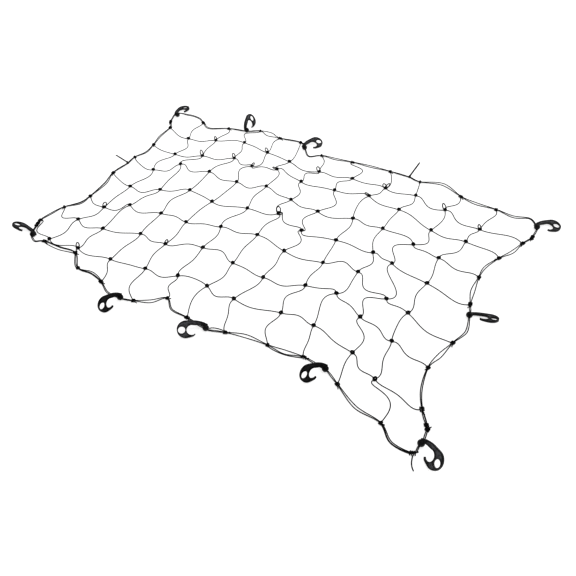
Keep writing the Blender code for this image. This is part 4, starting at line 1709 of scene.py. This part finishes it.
@dataclass
class LooseEnd:
    """The one cut end of cord that lies free, beside the front right hook."""

    steps: int = 5
    radius: float = 1.9 * MM  # its sheath sprang open when it was cut

    def build(self, border: BorderCord, finish: bpy.types.Material) -> bpy.types.Object:
        """Builds the end from its knot on the border, in place of its node.

        Args:
            border: the front border.
            finish: the cord's material.

        Returns:
            The cord's piece.
        """
        knots = [stop for stop in border.stops() if stop.station.kind is Stand.KNOT]
        root = knots[-2].place * (1, 1, 0) + upright(self.radius)
        way = flat(border.stub_heading(knots[-2]))
        points = [root + way * (KNOT_REACH + GAP)]
        points += [root + np.array((x, y, 0.0)) * CM for x, y in LOOSE_END]
        path = through(np.array(points), self.steps)
        skin = Skin()
        skin.add_cord(path, self.radius)
        piece = place_piece("loose_end_cord", skin.mesh("loose_end"), finish, "loose_end")
        return piece


# The studio


@dataclass
class Studio:
    """A glowing white floor, a wide soft light overhead and the camera."""

    azimuth: float = 31.7  # degrees; 0 looks along +Y
    elevation: float = 46.5
    roll: float = -1.94
    target: tuple[float, float] = (0.1843, -0.2427)  # on the floor, at the middle of the picture
    distance: float = 2.139
    focal: float = 584.0  # pixels, in a picture 576 wide
    picture: float = 576.0
    sensor: float = 36.0  # mm
    picture_shift: tuple[float, float] = (0.4, 0.8)  # pixels, to the right and down
    floor_half: float = 30.0
    floor_down: float = 0.2 * MM  # how far under the net it lies
    sky: float = 0.4
    bank: float = 0.55  # the lamp bank's light on a level square metre, in watts
    bank_wide: float = 50.0  # how wide it stands in the sky, in degrees
    bank_leans: tuple[float, float] = (-25.0, 20.0)  # off straight overhead, to +Y and to +X
    push: float = 0.82  # the picture's tones, printed hard so that the cords are black on white

    def floor(self) -> None:
        """Lays the floor, just under the net."""
        side, down = self.floor_half, -self.floor_down
        corners = [(-side, -side, down), (side, -side, down), (side, side, down), (-side, side, down)]
        mesh = bpy.data.meshes.new("floor")
        mesh.from_pydata(corners, [], [(0, 1, 2, 3)])
        mesh.materials.append(LightTable().dress())
        add_object("floor", mesh)

    def lights(self) -> None:
        """Lights the net evenly from a white room, and a little more from a wide far lamp bank."""
        world = bpy.data.worlds.new("studio")
        world.use_nodes = True
        backdrop = world.node_tree.nodes["Background"]
        backdrop.inputs["Color"].default_value = (1, 1, 1, 1)
        backdrop.inputs["Strength"].default_value = self.sky
        bpy.context.scene.world = world
        light = bpy.data.lights.new("lamp_bank", "SUN")
        light.energy = self.bank
        light.angle = math.radians(self.bank_wide)
        lamp = add_object("lamp_bank", light)
        lamp.rotation_euler = (*(math.radians(angle) for angle in self.bank_leans), 0)

    def camera(self) -> None:
        """Sets up the camera from its angles, its aim and its focal length in pixels."""
        az, el, roll = (math.radians(angle) for angle in (self.azimuth, self.elevation, self.roll))
        back = Vector((math.sin(az) * math.cos(el), -math.cos(az) * math.cos(el), math.sin(el)))
        right = Vector((math.cos(az), math.sin(az), 0))
        up = back.cross(right)
        leaning_right = right * math.cos(roll) + up * math.sin(roll)
        leaning_up = up * math.cos(roll) - right * math.sin(roll)
        turn = Matrix((leaning_right, leaning_up, back)).transposed().to_4x4()
        lens = bpy.data.cameras.new("camera")
        lens.sensor_width = self.sensor
        lens.lens = self.focal * self.sensor / self.picture
        lens.shift_x = -self.picture_shift[0] / self.picture
        lens.shift_y = self.picture_shift[1] / self.picture
        place = Vector((*self.target, 0)) + back * self.distance
        camera = add_object("camera", lens)
        camera.matrix_world = Matrix.Translation(place) @ turn
        bpy.context.scene.camera = camera

    def build(self) -> None:
        """Builds the whole studio."""
        self.floor()
        self.lights()
        self.camera()
        tones = bpy.context.scene.view_settings
        tones.view_transform = "Standard"
        tones.gamma = self.push


def main() -> None:
    """Loads the frame, builds each piece around it and notes each new piece's triangles."""
    logging.basicConfig(level=logging.INFO, format="%(name)s: %(message)s")
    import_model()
    Studio().build()
    cord = BraidedSheath().dress()
    borders = {name: BorderCord(name) for name in BORDER}
    LooseEnd().build(borders["border_front"], cord)
    for border in borders.values():
        border.build(cord)
    NetField({name: border.line_ends() for name, border in borders.items()}).build(cord)
    moulding = HookMoulding()
    nylon, shaded = HOOK_NYLON.dress(), SHADED_NYLON.dress()
    blank = moulding.blank()
    # two hooks get the darker copy, as painted shade
    for name, pose in HOOKS.items():
        moulding.build(f"hook_{name}", pose, blank, shaded if name in SHADED_HOOKS else nylon)
    tie_nylon = TIE_NYLON.dress()
    for cable_tie in TIES:
        cable_tie.build(borders[cable_tie.border], tie_nylon)


if __name__ == "__main__":
    main()
